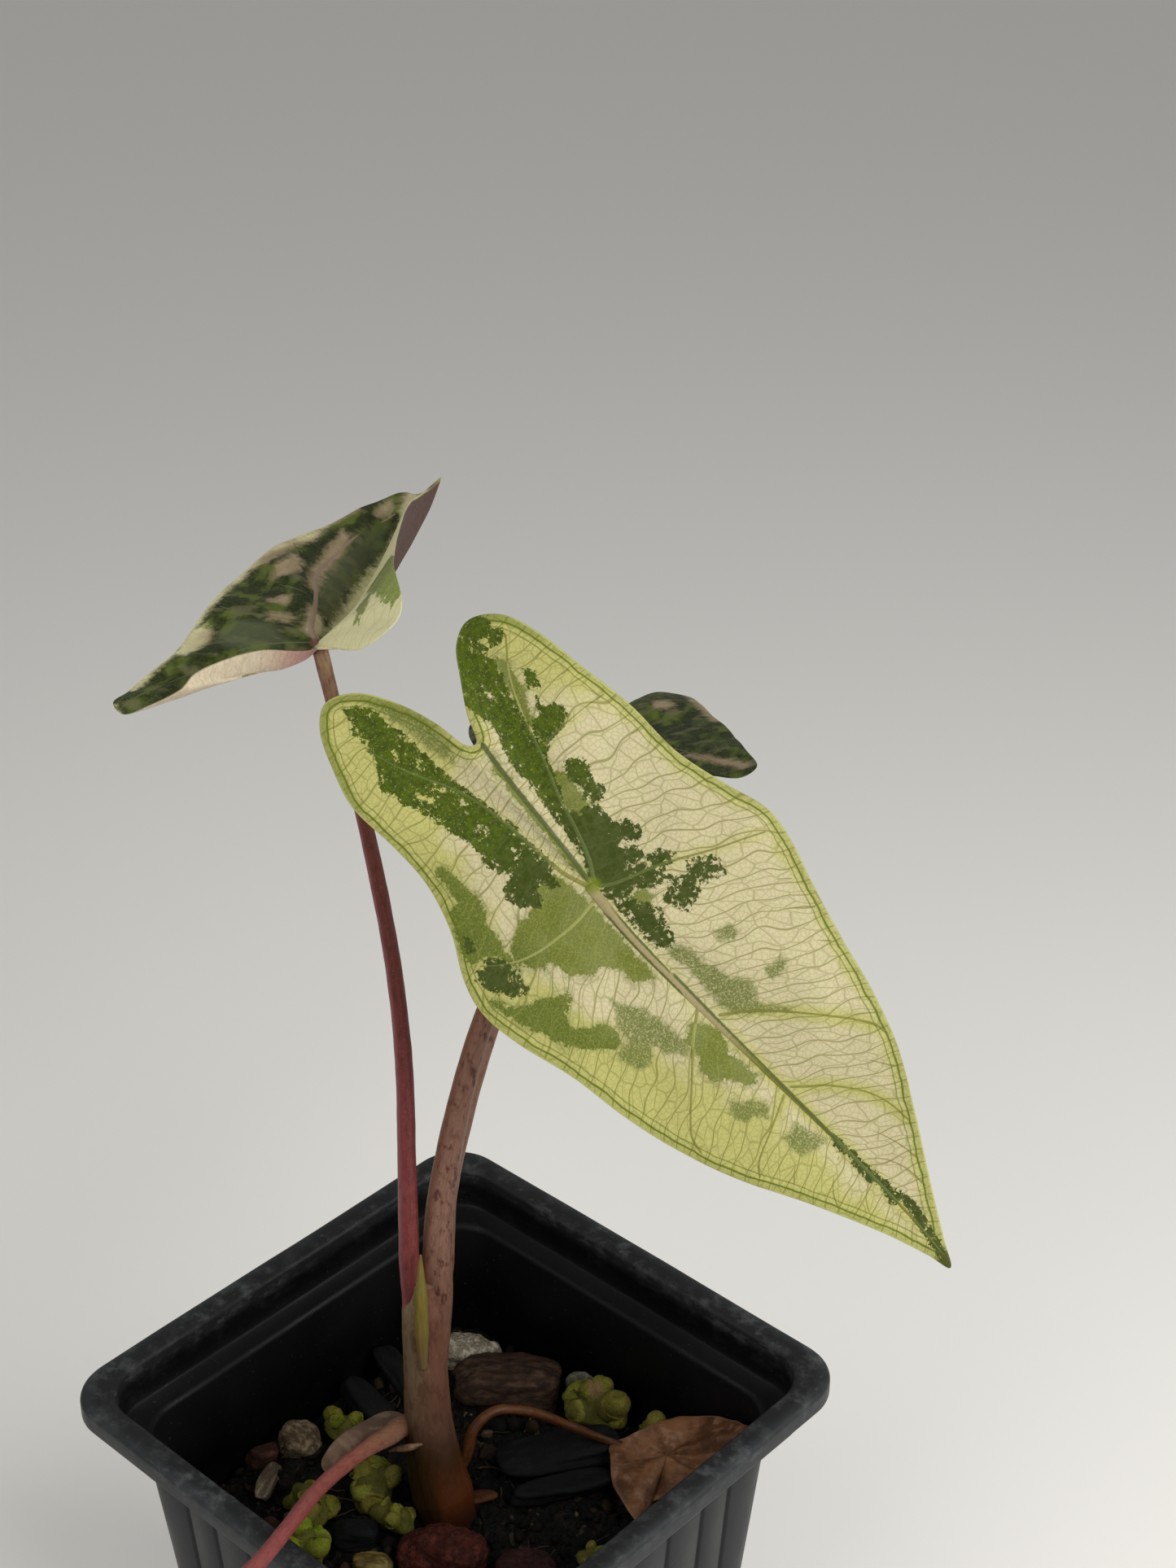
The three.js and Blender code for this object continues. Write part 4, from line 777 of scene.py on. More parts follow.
# A blade's skin: each marking is a distance field plus noise, cut at a level, and they are laid over
# each other from the cream up to the veins, the margin and the tip; the underside is apart.
def bladeMaterial(name, look):
    colour = tints(look)
    g = Graph(name, roughness=0.52, specular=0.08)
    where = g.read("leafPlace", "Vector")
    along, left = (g.add("ShaderNodeSeparateXYZ", {}, {"Vector": where}, k) for k in (0, 1))
    ragged = g.sum(g.noise(where, 1.5, 9.0, 0.72), -0.5)
    fine = g.sum(g.noise(where, 0.42, 3.0, 0.6), -0.5)
    shape = g.sum(g.times(ragged, look["mottle"]), g.times(fine, look["frill"]))
    grain = g.noise(where, 0.5, 4.0, 0.6)
    cloud = g.noise(where, 6.0, 3.0, 0.5)

    # green areas
    cut = -0.21
    dark = g.span(g.sum(g.read("dark"), shape), cut - look["blur"], cut + look["blur"])
    inside = g.span(g.read("dark"), 0.2, 2.2, 0.0, 0.12)
    thinner = g.times(g.span(along, 0.0, 6.0, 0.0, -0.05), g.span(along, 20.0, 40.0, 1.0, 0.0))
    inside = g.sum(inside, thinner)
    holes = g.sum(g.noise(where, 0.9, 6.0, 0.75), inside)
    dark = g.times(dark, g.span(holes, 0.4, 0.43, 1 - look["holes"], 1.0))
    mid = g.span(g.sum(g.read("mid"), shape), -0.25, 0.0)
    stipple = g.span(g.noise(where, 0.26, 4.0, 0.7), 0.36, 0.56)
    faint = g.span(g.sum(g.read("faint"), shape), -0.6, 0.5, 0.0, 1.0 - look["sheen"])
    halo = g.span(g.sum(g.read("mid"), g.times(ragged, 7.0)), -1.6, 0.2, 0.0, look["halo"])
    veil = g.times(g.largest(faint, halo), g.span(stipple, 0.0, 1.0, 0.35, 1.0))

    # vein net: cells of two sizes, and side veins where along less a share of left crosses a step
    bent = g.warp(where, 1.0, 0.4)
    net = g.span(g.cells(bent, 0.8, axes="2D"), 0.02, 0.13, 1.0, 0.0)
    slant = g.span(along, -22.0, 14.0, 0.0, -0.55, soft=False)
    sweep = g.sum(along, g.times(g.away(left, 0.0), slant))
    sweep = g.sum(sweep, g.times(g.noise(where, 9.0, 1.0), 5.0))
    blockPlace = g.add("ShaderNodeCombineXYZ", {}, {0: sweep, 1: g.times(left, 0.75)})
    blocks = g.cells(g.warp(blockPlace, 1.6, 0.5), 2.0, axes="2D")
    wide = g.span(blocks, 0.02, 0.07, 1.0, 0.0)
    lateral = g.add("ShaderNodeMath", {"operation": "PINGPONG"}, {0: sweep, 1: 1.2})
    lateral = g.span(lateral, 0.04, 0.17, 1.0, 0.0)
    lines = g.largest(g.times(net, 0.3), g.largest(g.times(wide, 0.5), g.times(lateral, 0.8)))
    edge, near = g.read("edge"), g.read("near")

    byVein = g.times(g.span(near, 0.3, 2.0, look["margin"], 0.0), g.span(along, 22.0, 34.0, 0.35, 0.75))
    byEdge = g.span(g.sum(edge, g.times(g.sum(cloud, -0.5), 4.0)), 1.0, 3.2, 0.7 * look["margin"], 0.0)
    greenish = g.sum(g.read("green"), g.times(g.sum(cloud, -0.5), 9.0))
    cooled = g.times(g.span(greenish, -1.5, 3.5), look["cool"])
    yellowing = g.largest(g.largest(byVein, byEdge), cooled)
    pooled = g.span(g.noise(where, 2.2, 3.0), 0.42, 0.6, 0.0, 0.5)
    cream = g.mix(pooled, colour["warmCream"], colour["coolCream"])
    cream = g.mix(yellowing, cream, colour["yellow"])
    cream = g.mix(g.times(g.span(grain, 0.3, 0.7), 0.1), cream, colour["lineOnCream"])
    cream = g.mix(g.times(lines, look["net"]), cream, colour["lineOnCream"])
    middle = g.mix(g.span(cloud, 0.42, 0.6), colour["mid"], colour["midGrey"])
    middle = g.mix(g.span(left, -10.0, -15.0), middle, colour["midDeep"])
    middle = g.mix(g.span(stipple, 0.0, 1.0, 0.24, 0.0), middle, colour["yellow"])
    middle = g.mix(g.times(lines, 0.15), middle, colour["yellow"])
    byJoint = g.span(along, -18.0, -5.0)
    deep = g.mix(byJoint, colour["dark"], colour["darkGrey"])
    deep = g.mix(g.span(g.noise(where, 1.1, 6.0, 0.7), 0.38, 0.62, 0.9, 0.0), deep, colour["deep"])
    specks = g.span(g.noise(where, 0.3, 3.0, 0.6), 0.6, 0.66, 0.0, 0.5)
    deep = g.mix(g.times(specks, g.span(along, -10.0, -20.0)), deep, colour["lineOnMid"])
    blotch = g.noise(g.stretch(where, (0.7, 1.2, 1.0)), 3.4, 3.0, 0.5)
    deep = g.mix(g.span(blotch, 0.46, 0.66, 0.0, look["blotches"]), deep, colour["mid"])
    blush = g.noise(g.stretch(where, (1.0, 0.7, 0.6)), 3.0, 2.0, 0.5)
    deep = g.mix(g.span(blush, 0.52, 0.68, 0.0, look["blotches"]), deep, colour["blush"])
    # painted sheen: a greyer green over the dark within the faint outlines, as strong as the look's sheen
    deep = g.mix(g.span(g.read("faint"), -1.4, 1.2, 0.0, look["sheen"]), deep, colour["lineAndSheenOnDark"])
    deep = g.mix(g.times(lines, 0.22), deep, colour["lineAndSheenOnDark"])
    top = g.mix(veil, cream, colour["midGrey"])
    top = g.mix(mid, top, middle)
    top = g.mix(dark, top, deep)

    # margin: two thin lines run round the blade
    wander = g.times(g.sum(g.noise(where, 3.0, 2.0), -0.5), 0.7)
    inner = g.span(g.away(g.sum(edge, wander), 1.0), 0.05, 0.2, 1.0, 0.0)
    outer = g.span(g.away(g.sum(edge, wander), 1.85), 0.03, 0.15, 0.7, 0.0)
    margin = g.times(g.span(dark, 0.0, 1.0, 1.0, 0.25), look["margin"])
    top = g.mix(g.times(g.times(g.largest(inner, outer), 0.95), margin), top, colour["edgeLine"])
    rim = g.times(g.span(edge, 0.8, 1.6, 0.22, 0.0), margin)
    lobeEnd = g.times(g.span(edge, 0.9, 1.7, 0.55, 0.0), g.span(along, -25.0, -33.0))
    rim = g.largest(rim, g.times(lobeEnd, margin))
    top = g.mix(rim, top, colour["edgeLine"])
    top = g.mix(g.times(g.span(edge, 0.1, 0.3, 0.7, 0.0), margin), top, colour["edge"])

    vein = g.read("vein")
    pale = g.mix(mid, colour["lineOnCream"], colour["lineOnMid"])
    pale = g.mix(dark, pale, colour["lineAndSheenOnDark"])
    isMidrib = g.times(g.span(vein, 0.92, 0.98), g.span(along, 26.0, 36.0, 1.0, look["ribEnd"]))
    pale = g.mix(isMidrib, pale, colour["midrib"])
    top = g.mix(g.span(vein, 0.0, 1.0, 0.0, 0.9, soft=False), top, pale)
    # thin dark lines: the midrib's painted shadow beside it, and one line from the joint to the sinus
    thinDarkLines = g.span(g.sum(g.read("line"), g.times(fine, 0.3)), 0.0, 0.16, 0.85, 0.0)
    top = g.mix(thinDarkLines, top, colour["streak"])
    spot = g.add("ShaderNodeVectorMath", {"operation": "LENGTH"}, {0: where}, "Value")
    top = g.mix(g.span(spot, 0.7, 1.7, 0.85, 0.0), top, colour["joint"])
    top = g.mix(g.span(along, *look["tipSpan"], 0.0, 0.85), top, colour["tip"])

    below = g.mix(g.span(spot, 3.0, 15.0, 0.85, 0.0), colour["underCream"], colour["underJoint"])
    below = g.mix(g.read("sole"), below, colour["underDark"])
    below = g.mix(g.span(grain, 0.35, 0.7, 0.0, 0.2), below, colour["underDark"])
    below = g.mix(g.times(lines, 0.3), below, colour["lineOnCream"])
    below = g.mix(g.times(vein, 0.5), below, colour["midrib"])
    skin = g.mix(g.read("upper"), below, top)
    g.bump(g.sum(g.times(lines, -0.6), g.times(grain, 0.3)), 0.1, 0.5)
    return g.paint(skin, g.span(grain, 0.3, 0.7, 0.46, 0.58))


bladeMaterials = {look: bladeMaterial(look + "Blade", colours) for look, colours in bladeLooks.items()}
for bladeName, bladeSpec in blades.items():
    makeBlade(bladeName, bladeSpec, bladeMaterials[bladeSpec["look"]])
print("blades are grown")


# Stalks, crown and sheaths

# Directions round a path: each side is the one before it, made square to the new step.
def pathFrames(path):
    tangent = unit(np.gradient(path, axis=0))
    side = np.zeros_like(path)
    side[0] = unit(np.cross(tangent[0], [0.9, 0.43, 0.1]))
    for i in range(1, len(path)):
        side[i] = unit(side[i - 1] - tangent[i] * (side[i - 1] @ tangent[i]))
    return side, np.cross(tangent, side)


# A tube: every point is its path's place plus the radius times a direction, which is cos a of one
# side plus sin a of the other. Swell adds to the radius by place and direction.
def tubeGrid(points, radii, count, sides, swell=None):
    path = smoothPath(points, count)
    side, up = pathFrames(path)
    share = np.linspace(0, 1, count)
    radius = np.interp(share, np.linspace(0, 1, len(radii)), radii)[:, None]
    angle = np.linspace(0, 2 * np.pi, sides, endpoint=False)
    out = side[:, None] * np.cos(angle)[:, None] + up[:, None] * np.sin(angle)[:, None]
    if swell is not None:
        radius = radius + swell(path[:, None] + out * radius[..., None], share[:, None], out)
    run = np.linalg.norm(np.diff(path, axis=0), axis=1).sum() * share
    flat = np.ones((count, sides))
    fields = {
        "stalkPlace": np.stack([flat * run[:, None], radius * flat * angle, flat * 0], -1),
        "round": out,
        "share": flat * share[:, None],
        "height": path[:, 2][:, None] * flat,
    }
    return path[:, None] + out * radius[..., None], fields


viewLeft = np.array([-0.739, -0.674, 0])  # to the left as seen by the viewer of the front leaf


# Roundness and slight lengthwise ribs of a stalk: the radius gains sines of the angle and noise.
def stalkSwell(points, share, out):
    angle = np.arctan2(out[..., 1], out[..., 0])
    ribs = 0.035 * np.sin(9 * angle) + 0.03 * np.sin(5 * angle + 2)
    return ribs * smoothStep(0, 0.05, share) + 0.05 * layeredNoise(points, 3.2, 2, 5)


stalks = {
    "stalkBackLeft": {
        "node": "petiole_back_left", "slot": "pink_stalk", "look": "pink",
        "path": [[-5.6, -2.2, 80], [-6.6, -2.55, 88], [-7.2, -2.5, 97], [-7.2, -2.3, 104],
                 [-7.9, -2.1, 109.5], [-9, -1, 118],
                 [-11.7, 1.7, 127.9], [-15.8, 5.6, 142.5], [-20.3, 8.2, 157.4], [-25.6, 10, 172],
                 [-30.2, 10.7, 185.6], [-33.5, 10.3, 197.1], [-35, 9.7, 205]],
        "radii": [1.5, 1.75, 1.7, 1.6, 1.45, 1.4, 1.3, 1.25, 1.2, 1.1, 1.05, 1.2],
    },
    "stalkFront": {
        "node": "petiole_front", "slot": "flecked_stalk", "look": "flecked",
        "path": [[-5.9, -0.4, 86], [-5.5, 0.4, 96], [-5.2, 1.2, 104], [-5.5, 1.6, 109], [-6.7, 3.6, 118.4],
                 [-7.5, 7.1, 128.6], [-7.2, 10.4, 139.6], [-4.8, 13.4, 152.9], [-1.2, 15.1, 161],
                 [4.6, 16.5, 170], [11, 16, 178.4], [16, 13.4, 183.6]],
        "radii": [2.6, 2.6, 2.45, 2.3, 2.1, 1.9, 1.72, 1.62, 1.58, 1.56, 1.54, 1.6],
    },
    "stalkBackRight": {
        "node": "petiole_back_right", "slot": "flecked_stalk", "look": "flecked",
        "path": [[-6.2, 0.4, 91.5], [-7.1, 3, 98.5], [-8.2, 5.4, 105.8], [-10.8, 9.2, 116.3],
                 [-14.4, 18, 128.7], [-17.4, 26.4, 137.2], [-22.1, 41.6, 151.5], [-25.1, 55.3, 164.8],
                 [-24.8, 63, 172.2]],
        "radii": [1.8, 1.8, 1.7, 1.6, 1.5, 1.4],
    },
    "stalkLow": {
        "node": "petiole_low", "slot": "pink_stalk", "look": "low",
        "path": [[-5, -2.2, 78.8], [-7.6, -5.2, 78.9], [-7, -9, 79.8], [-5.5, -14.3, 82.2],
                 [-3.3, -21.1, 85.1], [0.9, -31.1, 89.4], [5.6, -40.4, 92.7], [9.1, -49.2, 94.5],
                 [12.6, -62, 96.4], [15.2, -73, 95.6], [16.3, -81, 88.2]],
        "radii": [1.9, 1.8, 1.5, 1.3, 1.25, 1.25, 1.2, 1.2, 1.2, 1.2, 1.25, 1.25, 1.25, 1.25, 1.2,
                  1.15, 1.1],
    },
    "stalkDead": {
        "node": "petiole_dead", "slot": "dead_stalk", "look": "dead",
        "path": [[-2.6, -1.2, 66], [-0.8, 2, 71.2], [-0.6, 4.2, 76.3], [0.4, 7.6, 78.2], [3.2, 13.2, 76.1],
                 [7, 19.1, 71.3], [11.2, 23.6, 67.6], [16, 25.6, 67.6]],
        "radii": [1.7, 1.05, 0.86, 0.8, 0.8, 0.78, 0.7, 0.55],
    },
}
stalkLooks = {  # colours along the stalk from its foot, the side that faces the viewer's left (painted highlight on the pink, low and dead stalks, painted shade on the flecked ones), the streaks, the flecks and their share
    "pink": {"run": [(0.0, 92, 76, 52), (0.1, 104, 78, 58), (0.19, 112, 56, 52), (0.3, 110, 48, 48),
                     (0.5, 98, 42, 40), (0.8, 94, 50, 38), (0.93, 106, 74, 52), (1.0, 138, 114, 84)],
             "side": (136, 84, 90), "shade": (60, 24, 24), "fleck": (74, 30, 32), "flecks": 0.35},
    "flecked": {"run": [(0.0, 98, 68, 54), (0.3, 122, 90, 76), (0.7, 118, 86, 70), (1.0, 132, 104, 76)],
                "side": (104, 62, 38), "shade": (84, 54, 40), "fleck": (66, 34, 28), "flecks": 0.9},
    "low": {"run": [(0.0, 96, 74, 54), (0.12, 116, 86, 64), (0.24, 126, 74, 62), (0.5, 124, 62, 60),
                    (0.9, 128, 74, 66), (1.0, 130, 104, 76)],
            "side": (150, 100, 92), "shade": (100, 44, 48), "fleck": (96, 44, 46), "flecks": 0.4},
    "dead": {"run": [(0.0, 62, 30, 10), (0.4, 78, 43, 16), (1.0, 60, 34, 17)],
             "side": (90, 54, 24), "shade": (38, 19, 9), "fleck": (40, 20, 10), "flecks": 0.6},
}


def stalkMaterial(name, look):
    g = Graph(name, roughness=0.48, specular=0.22)
    share = g.read("share")
    ramp = g.nodes.new("ShaderNodeValToRGB")
    g.links.new(share, ramp.inputs["Fac"])
    stops = look["run"]
    ramp.color_ramp.elements[0].position = stops[0][0]
    ramp.color_ramp.elements[0].color = tint(*stops[0][1:])
    ramp.color_ramp.elements[1].position = stops[-1][0]
    ramp.color_ramp.elements[1].color = tint(*stops[-1][1:])
    for place, *shade in stops[1:-1]:
        ramp.color_ramp.elements.new(place).color = tint(*shade)
    where = g.read("stalkPlace", "Vector")
    lengthwise = g.stretch(where, (0.22, 1.0, 1.0))
    solid = g.place()
    streak = g.noise(lengthwise, 0.5, 4.0, 0.6)
    skin = g.mix(g.span(streak, 0.42, 0.7, 0.0, 0.6), ramp.outputs["Color"], tint(*look["shade"]))
    # the side that faces the viewer's left: painted highlight on pink, low and dead stalks, painted shade
    # on flecked ones
    skin = g.mix(g.times(g.read("pale"), 0.75), skin, tint(*look["side"]))
    spots = g.noise(g.stretch(solid, (1.0, 1.0, 0.45)), 1.15, 4.0, 0.6)
    fleck = g.times(g.span(spots, 0.52, 0.68), look["flecks"])
    skin = g.mix(fleck, skin, tint(*look["fleck"]))
    small = g.noise(solid, 0.35, 2.0)
    skin = g.mix(g.times(g.span(small, 0.55, 0.7), 0.25), skin, tint(*look["side"]))
    g.bump(g.sum(streak, g.times(small, 0.5)), 0.1, 0.5)
    return g.paint(skin, g.span(small, 0.3, 0.7, 0.42, 0.58))


stalkMesh = {"ringsPerMm": 1.7, "extraRings": 12, "sides": 26}


# A stalk: a tube along its path, coloured on the side that faces the viewer's left with painted highlight
# on the pink, low and dead stalks and painted shade on the flecked ones.
def makeStalk(name, spec, material):
    length = sum(math.dist(a, b) for a, b in zip(spec["path"], spec["path"][1:]))
    rings = int(length * stalkMesh["ringsPerMm"]) + stalkMesh["extraRings"]
    grid, fields = tubeGrid(spec["path"], spec["radii"], rings, stalkMesh["sides"], stalkSwell)
    fields["pale"] = smoothStep(0.35, 0.95, fields.pop("round") @ viewLeft)
    return gridPiece(name, grid, material, [spec["node"]], fields)


stalkMaterials = {look: stalkMaterial(look + "Stalk", spec) for look, spec in stalkLooks.items()}
for stalkName, stalkSpec in stalks.items():
    makeStalk(stalkName, stalkSpec, stalkMaterials[stalkSpec["look"]])

crown = {
    "path": [[-0.5, -2.3, 57.3], [-1.9, -1.9, 63.5], [-3.7, -2.1, 70.9], [-5, -1.9, 80.4],
             [-5.9, -1.3, 93.4], [-6.1, -0.7, 107.5]],
    "radii": [4.4, 5, 4.2, 3.7, 3.5, 3.5, 3.4],
    "topDraw": 1.3,  # how far the upper end draws in
    "skirtTop": 77.5, "skirtSlant": 2.2, "skirtStep": 0.06,
    "seams": [(2.1, 0.012, 0.32), (-1.2, -0.02, 0.25), (0.3, 0.01, 0.2)],  # angle, drift, step
    "rings": 190, "sides": 120,
    # shade and foot are painted shade, lower on the crown and by the soil; old and oldStreak are the old
    # skirt's own dark brown, darkened further with painted shade
    "colours": {
        "brown": (104, 70, 56), "tan": (108, 90, 68), "streak": (70, 50, 32), "blotch": (76, 44, 34),
        "fleck": (128, 110, 80), "shade": (56, 37, 25), "old": (26, 15, 5), "oldStreak": (58, 36, 14),
        "ruddy": (84, 40, 12), "foot": (34, 12, 6),
    },
}


# Height of the old sheath's slanting edge round the crown.
def skirtEdge(angle):
    return crown["skirtTop"] + crown["skirtSlant"] * np.cos(angle + 2.4) + 0.35 * np.sin(7 * angle)


# The crown's radius steps out at each sheath's edge and then falls back slowly round the stem.
def crownSwell(points, share, out):
    angle = np.arctan2(out[..., 1], out[..., 0])
    z = points[..., 2]
    swell = crown["skirtStep"] * smoothStep(0.35, -0.1, z - skirtEdge(angle))
    for start, drift, step in crown["seams"]:
        turn = (angle - start - drift * (z - 60)) % (2 * np.pi)
        swell += step * smoothStep(0, 0.12, turn) * (1 - smoothStep(0.12, 3.2, turn))
    swell -= crown["topDraw"] * smoothStep(0.88, 1.0, share)
    return swell - 0.12 + 0.1 * layeredNoise(points * (1, 1, 0.35), 2.2, 3, 3)


def crownMaterial():
    colour = tints(crown["colours"])
    g = Graph("crownSkin", roughness=0.52, specular=0.2)
    height, pale = g.read("height"), g.read("pale")
    solid = g.place()
    lengthwise = g.stretch(solid, (1.0, 1.0, 0.16))
    streak = g.noise(lengthwise, 0.6, 4.0, 0.6)
    mottle = g.noise(g.stretch(solid, (1.0, 1.0, 0.5)), 1.7, 4.0, 0.65)
    skin = g.mix(pale, colour["brown"], colour["tan"])
    skin = g.mix(g.span(streak, 0.45, 0.72, 0.0, 0.5), skin, colour["streak"])
    skin = g.mix(g.times(g.span(mottle, 0.5, 0.64), 0.6), skin, colour["blotch"])
    skin = g.mix(g.times(g.span(mottle, 0.3, 0.42, 1.0, 0.0), 0.5), skin, colour["fleck"])
    # painted shade: the skin darkens lower down, towards the skirt
    skin = g.mix(g.span(height, 72.0, 98.0, 0.85, 0.0), skin, colour["shade"])
    # the old skirt: its own dark brown with painted shade in it
    old = g.mix(streak, colour["old"], colour["oldStreak"])
    ruddy = g.times(g.span(height, 62.0, 77.0, 0.8, 0.0), g.span(pale, 0.0, 0.3, 1.0, 0.0))
    old = g.mix(ruddy, old, colour["ruddy"])
    # painted shade at the foot, by the soil
    old = g.mix(g.span(height, 61.0, 67.0, 0.85, 0.0), old, colour["foot"])
    skin = g.mix(g.read("skirt"), skin, old)
    g.bump(g.sum(streak, g.times(mottle, 0.4)), 0.2, 0.55)
    return g.paint(skin, g.span(mottle, 0.3, 0.7, 0.45, 0.62))


# The crown: a tube with stepped sheaths, whose old skirt ends at a ragged slanting edge.
def makeCrown():
    grid, fields = tubeGrid(crown["path"], crown["radii"], crown["rings"], crown["sides"], crownSwell)
    out = fields.pop("round")
    angle = np.arctan2(out[..., 1], out[..., 0])
    drift = 1.2 * latticeNoise(grid / 2.5, 4)
    fields["skirt"] = smoothStep(4.5, -4, grid[..., 2] - skirtEdge(angle) + drift)
    fields["pale"] = smoothStep(-0.3, 0.6, out @ viewLeft + 0.25 * latticeNoise(grid / (3, 3, 12), 8))
    return gridPiece("crownStem", grid, crownMaterial(), ["crown"], fields)


makeCrown()

sheathTip = {
    "path": [[-3.4, -4.1, 93], [-3.5, -4.1, 101], [-3.9, -3.6, 107.6], [-4.75, -2.6, 114.6]],
    "radii": [0.5, 1.15, 1.0, 0.14], "rings": 70, "sides": 30,
    "colours": {"green": (84, 72, 24), "yellow": (124, 110, 46), "foot": (104, 88, 60),
                "point": (104, 74, 38)},
}


# The yellow-green point of a leaf sheath, a tube that narrows to its end.
def makeSheathTip():
    colour = tints(sheathTip["colours"])
    g = Graph("sheathTipSkin", roughness=0.5, specular=0.3)
    streak = g.noise(g.stretch(g.place(), (1.0, 1.0, 0.12)), 0.45, 4.0, 0.6)
    share = g.read("share")
    skin = g.mix(streak, colour["green"], colour["yellow"])
    skin = g.mix(g.span(share, 0.0, 0.6, 0.85, 0.0), skin, colour["foot"])
    skin = g.mix(g.span(share, 0.86, 1.0, 0.0, 0.6), skin, colour["point"])
    g.bump(streak, 0.12, 0.6)
    rings, sides = sheathTip["rings"], sheathTip["sides"]
    grid, fields = tubeGrid(sheathTip["path"], sheathTip["radii"], rings, sides, stalkSwell)
    fields.pop("round")
    return gridPiece("sheathTip", grid, g.paint(skin), ["sheath_tip"], fields)


makeSheathTip()

# Dry parts made as blades: the papery sheath at the low stalk's foot and the fallen leaf
dryBlades = {
    "paperSheath": {
        "node": "petiole_low", "slot": "pink_stalk", "joint": (-7.6, -14, 80.8), "heading": -76,
        "pitch": 19, "roll": 0, "spokes": 200, "rings": 44, "underRings": 20, "thickness": 0.45,
        "ripple": 0.3, "rippleSize": 3.5, "veins": [],
        "outline": [[11, -0.2, 0, -0.5], [9, 1.4, 0, 0], [5, 2.4, 0, 0.2], [-1, 2.6, 0, 0],
                    [-8, 2.6, 0, 0], [-12.4, 0.2, 0, 0.6], [-10.5, -2.8, 0, 0.9], [-3, -3.8, 0.3, 0.8],
                    [3, -3.6, 0.3, 0.6], [8.5, -2.4, 0, 0]],
        "colours": [(96, 77, 62), (78, 60, 48), (116, 98, 82)], "rim": 0.15,
    },
    "leafDead": {
        "node": "leaf_dead", "slot": "dead_blade", "joint": (22, 26.5, 69), "heading": 33, "pitch": 0,
        "roll": 0, "spokes": 260, "rings": 56, "underRings": 26, "thickness": 0.5, "ripple": 1.1,
        "rippleSize": 4.6, "outline": deadOutline, "colours": [(104, 70, 44), (66, 40, 22), (124, 96, 78)],
        "veins": [(0.45, 0.25, [(-8, -2), (0, 0), (7, 0.6), (12, -1)]),
                  (0.3, 0.2, [(-2, -0.4), (-2.6, -5), (-2.8, -10)])],
        "rim": 0.4,
    },
}
dryStreak = (120, 70, 28)


# Dry skin from three colours, main, dark and pale; rim is how far the edge pales.
def dryMaterial(name, colours, rim):
    main, dark, pale = (tint(*colour) for colour in colours)
    g = Graph(name, roughness=0.62, specular=0.25)
    where = g.read("leafPlace", "Vector")
    blotch = g.noise(where, 4.5, 5.0, 0.65)
    streak = g.noise(g.stretch(where, (0.35, 1.0, 1.0)), 0.9, 4.0, 0.65)
    skin = g.mix(g.span(blotch, 0.38, 0.62), dark, main)
    skin = g.mix(g.span(streak, 0.5, 0.7, 0.0, rim), skin, tint(*dryStreak))
    skin = g.mix(g.span(g.noise(where, 2.2, 3.0), 0.56, 0.7, 0.0, 0.7), skin, pale)
    skin = g.mix(g.span(g.read("edge"), 0.1, 0.7, rim, 0.0), skin, pale)
    skin = g.mix(g.times(g.read("vein"), 0.3), skin, pale)
    g.bump(g.sum(streak, g.times(blotch, 0.7)), 0.25, 0.6)
    return g.paint(skin)


sheathLip = {
    "path": [[-8.2, -7.9, 74.8], [-6.6, -7.4, 76], [-4.6, -6.8, 77.2], [-2.6, -5.8, 78.5]],
    "radii": [0.15, 0.55, 0.6, 0.15], "rings": 44, "sides": 16,
    "colours": {"brown": (98, 74, 54), "tan": (132, 104, 82)},
}


# The edge of the old sheath that wraps the crown below the low stalk: a thin tapering roll.
def makeSheathLip():
    rings, sides = sheathLip["rings"], sheathLip["sides"]
    grid, _ = tubeGrid(sheathLip["path"], sheathLip["radii"], rings, sides, stalkSwell)
    colour = tints(sheathLip["colours"])
    g = Graph("sheathLipSkin", roughness=0.55, specular=0.2)
    streak = g.noise(g.place(), 0.8, 3.0, 0.6)
    skin = g.mix(g.span(streak, 0.35, 0.65), colour["brown"], colour["tan"])
    return gridPiece("sheathLip", grid, g.paint(skin), ["petiole_low"])


makeSheathLip()

for dryName, drySpec in dryBlades.items():
    makeBlade(dryName, drySpec, dryMaterial(dryName + "Skin", drySpec["colours"], drySpec["rim"]))
print("stalks, crown and dry parts are grown")


# Pot

pot = {
    "height": 90, "baseHalf": 31.5, "bodyTopHalf": 38.5, "bodyCorner": 0.21,
    "rimHalf": 45, "rimCorner": 0.184, "lipHeight": 4, "lipWidth": 4.5, "lipRound": 1.0,
    "wall": 1.2, "shoulderDrop": 8.5, "bandHalf": 40.5,
    "grooves": (-24, -17.4, -9.2, 0, 9.2, 17.4, 24), "grooveDepth": 0.45, "grooveHalfWidth": 0.7,
    "grooveHead": 78, "drainRadius": 4, "drainAt": 20, "drainSides": 28, "bow": 0.18,
    "cornerSteps": 14,
    # inside is painted shade within the pot, groove is painted shade in the grooves, and shade is painted
    # shade just below the rim
    "colours": {
        "black": (15, 16, 19), "grey": (24, 26, 30), "outside": (48, 50, 54), "inside": (2, 2, 3),
        "rim": (54, 56, 56), "shade": (18, 19, 20), "mark": (97, 101, 102), "scratch": (92, 97, 100),
        "groove": (14, 15, 17), "dust": (110, 108, 100),
    },
}


# Half the width of the tapered body at height z, along a straight line.
def bodyHalf(z):
    return pot["baseHalf"] + (pot["bodyTopHalf"] - pot["baseHalf"]) * z / (pot["height"] - pot["lipHeight"])


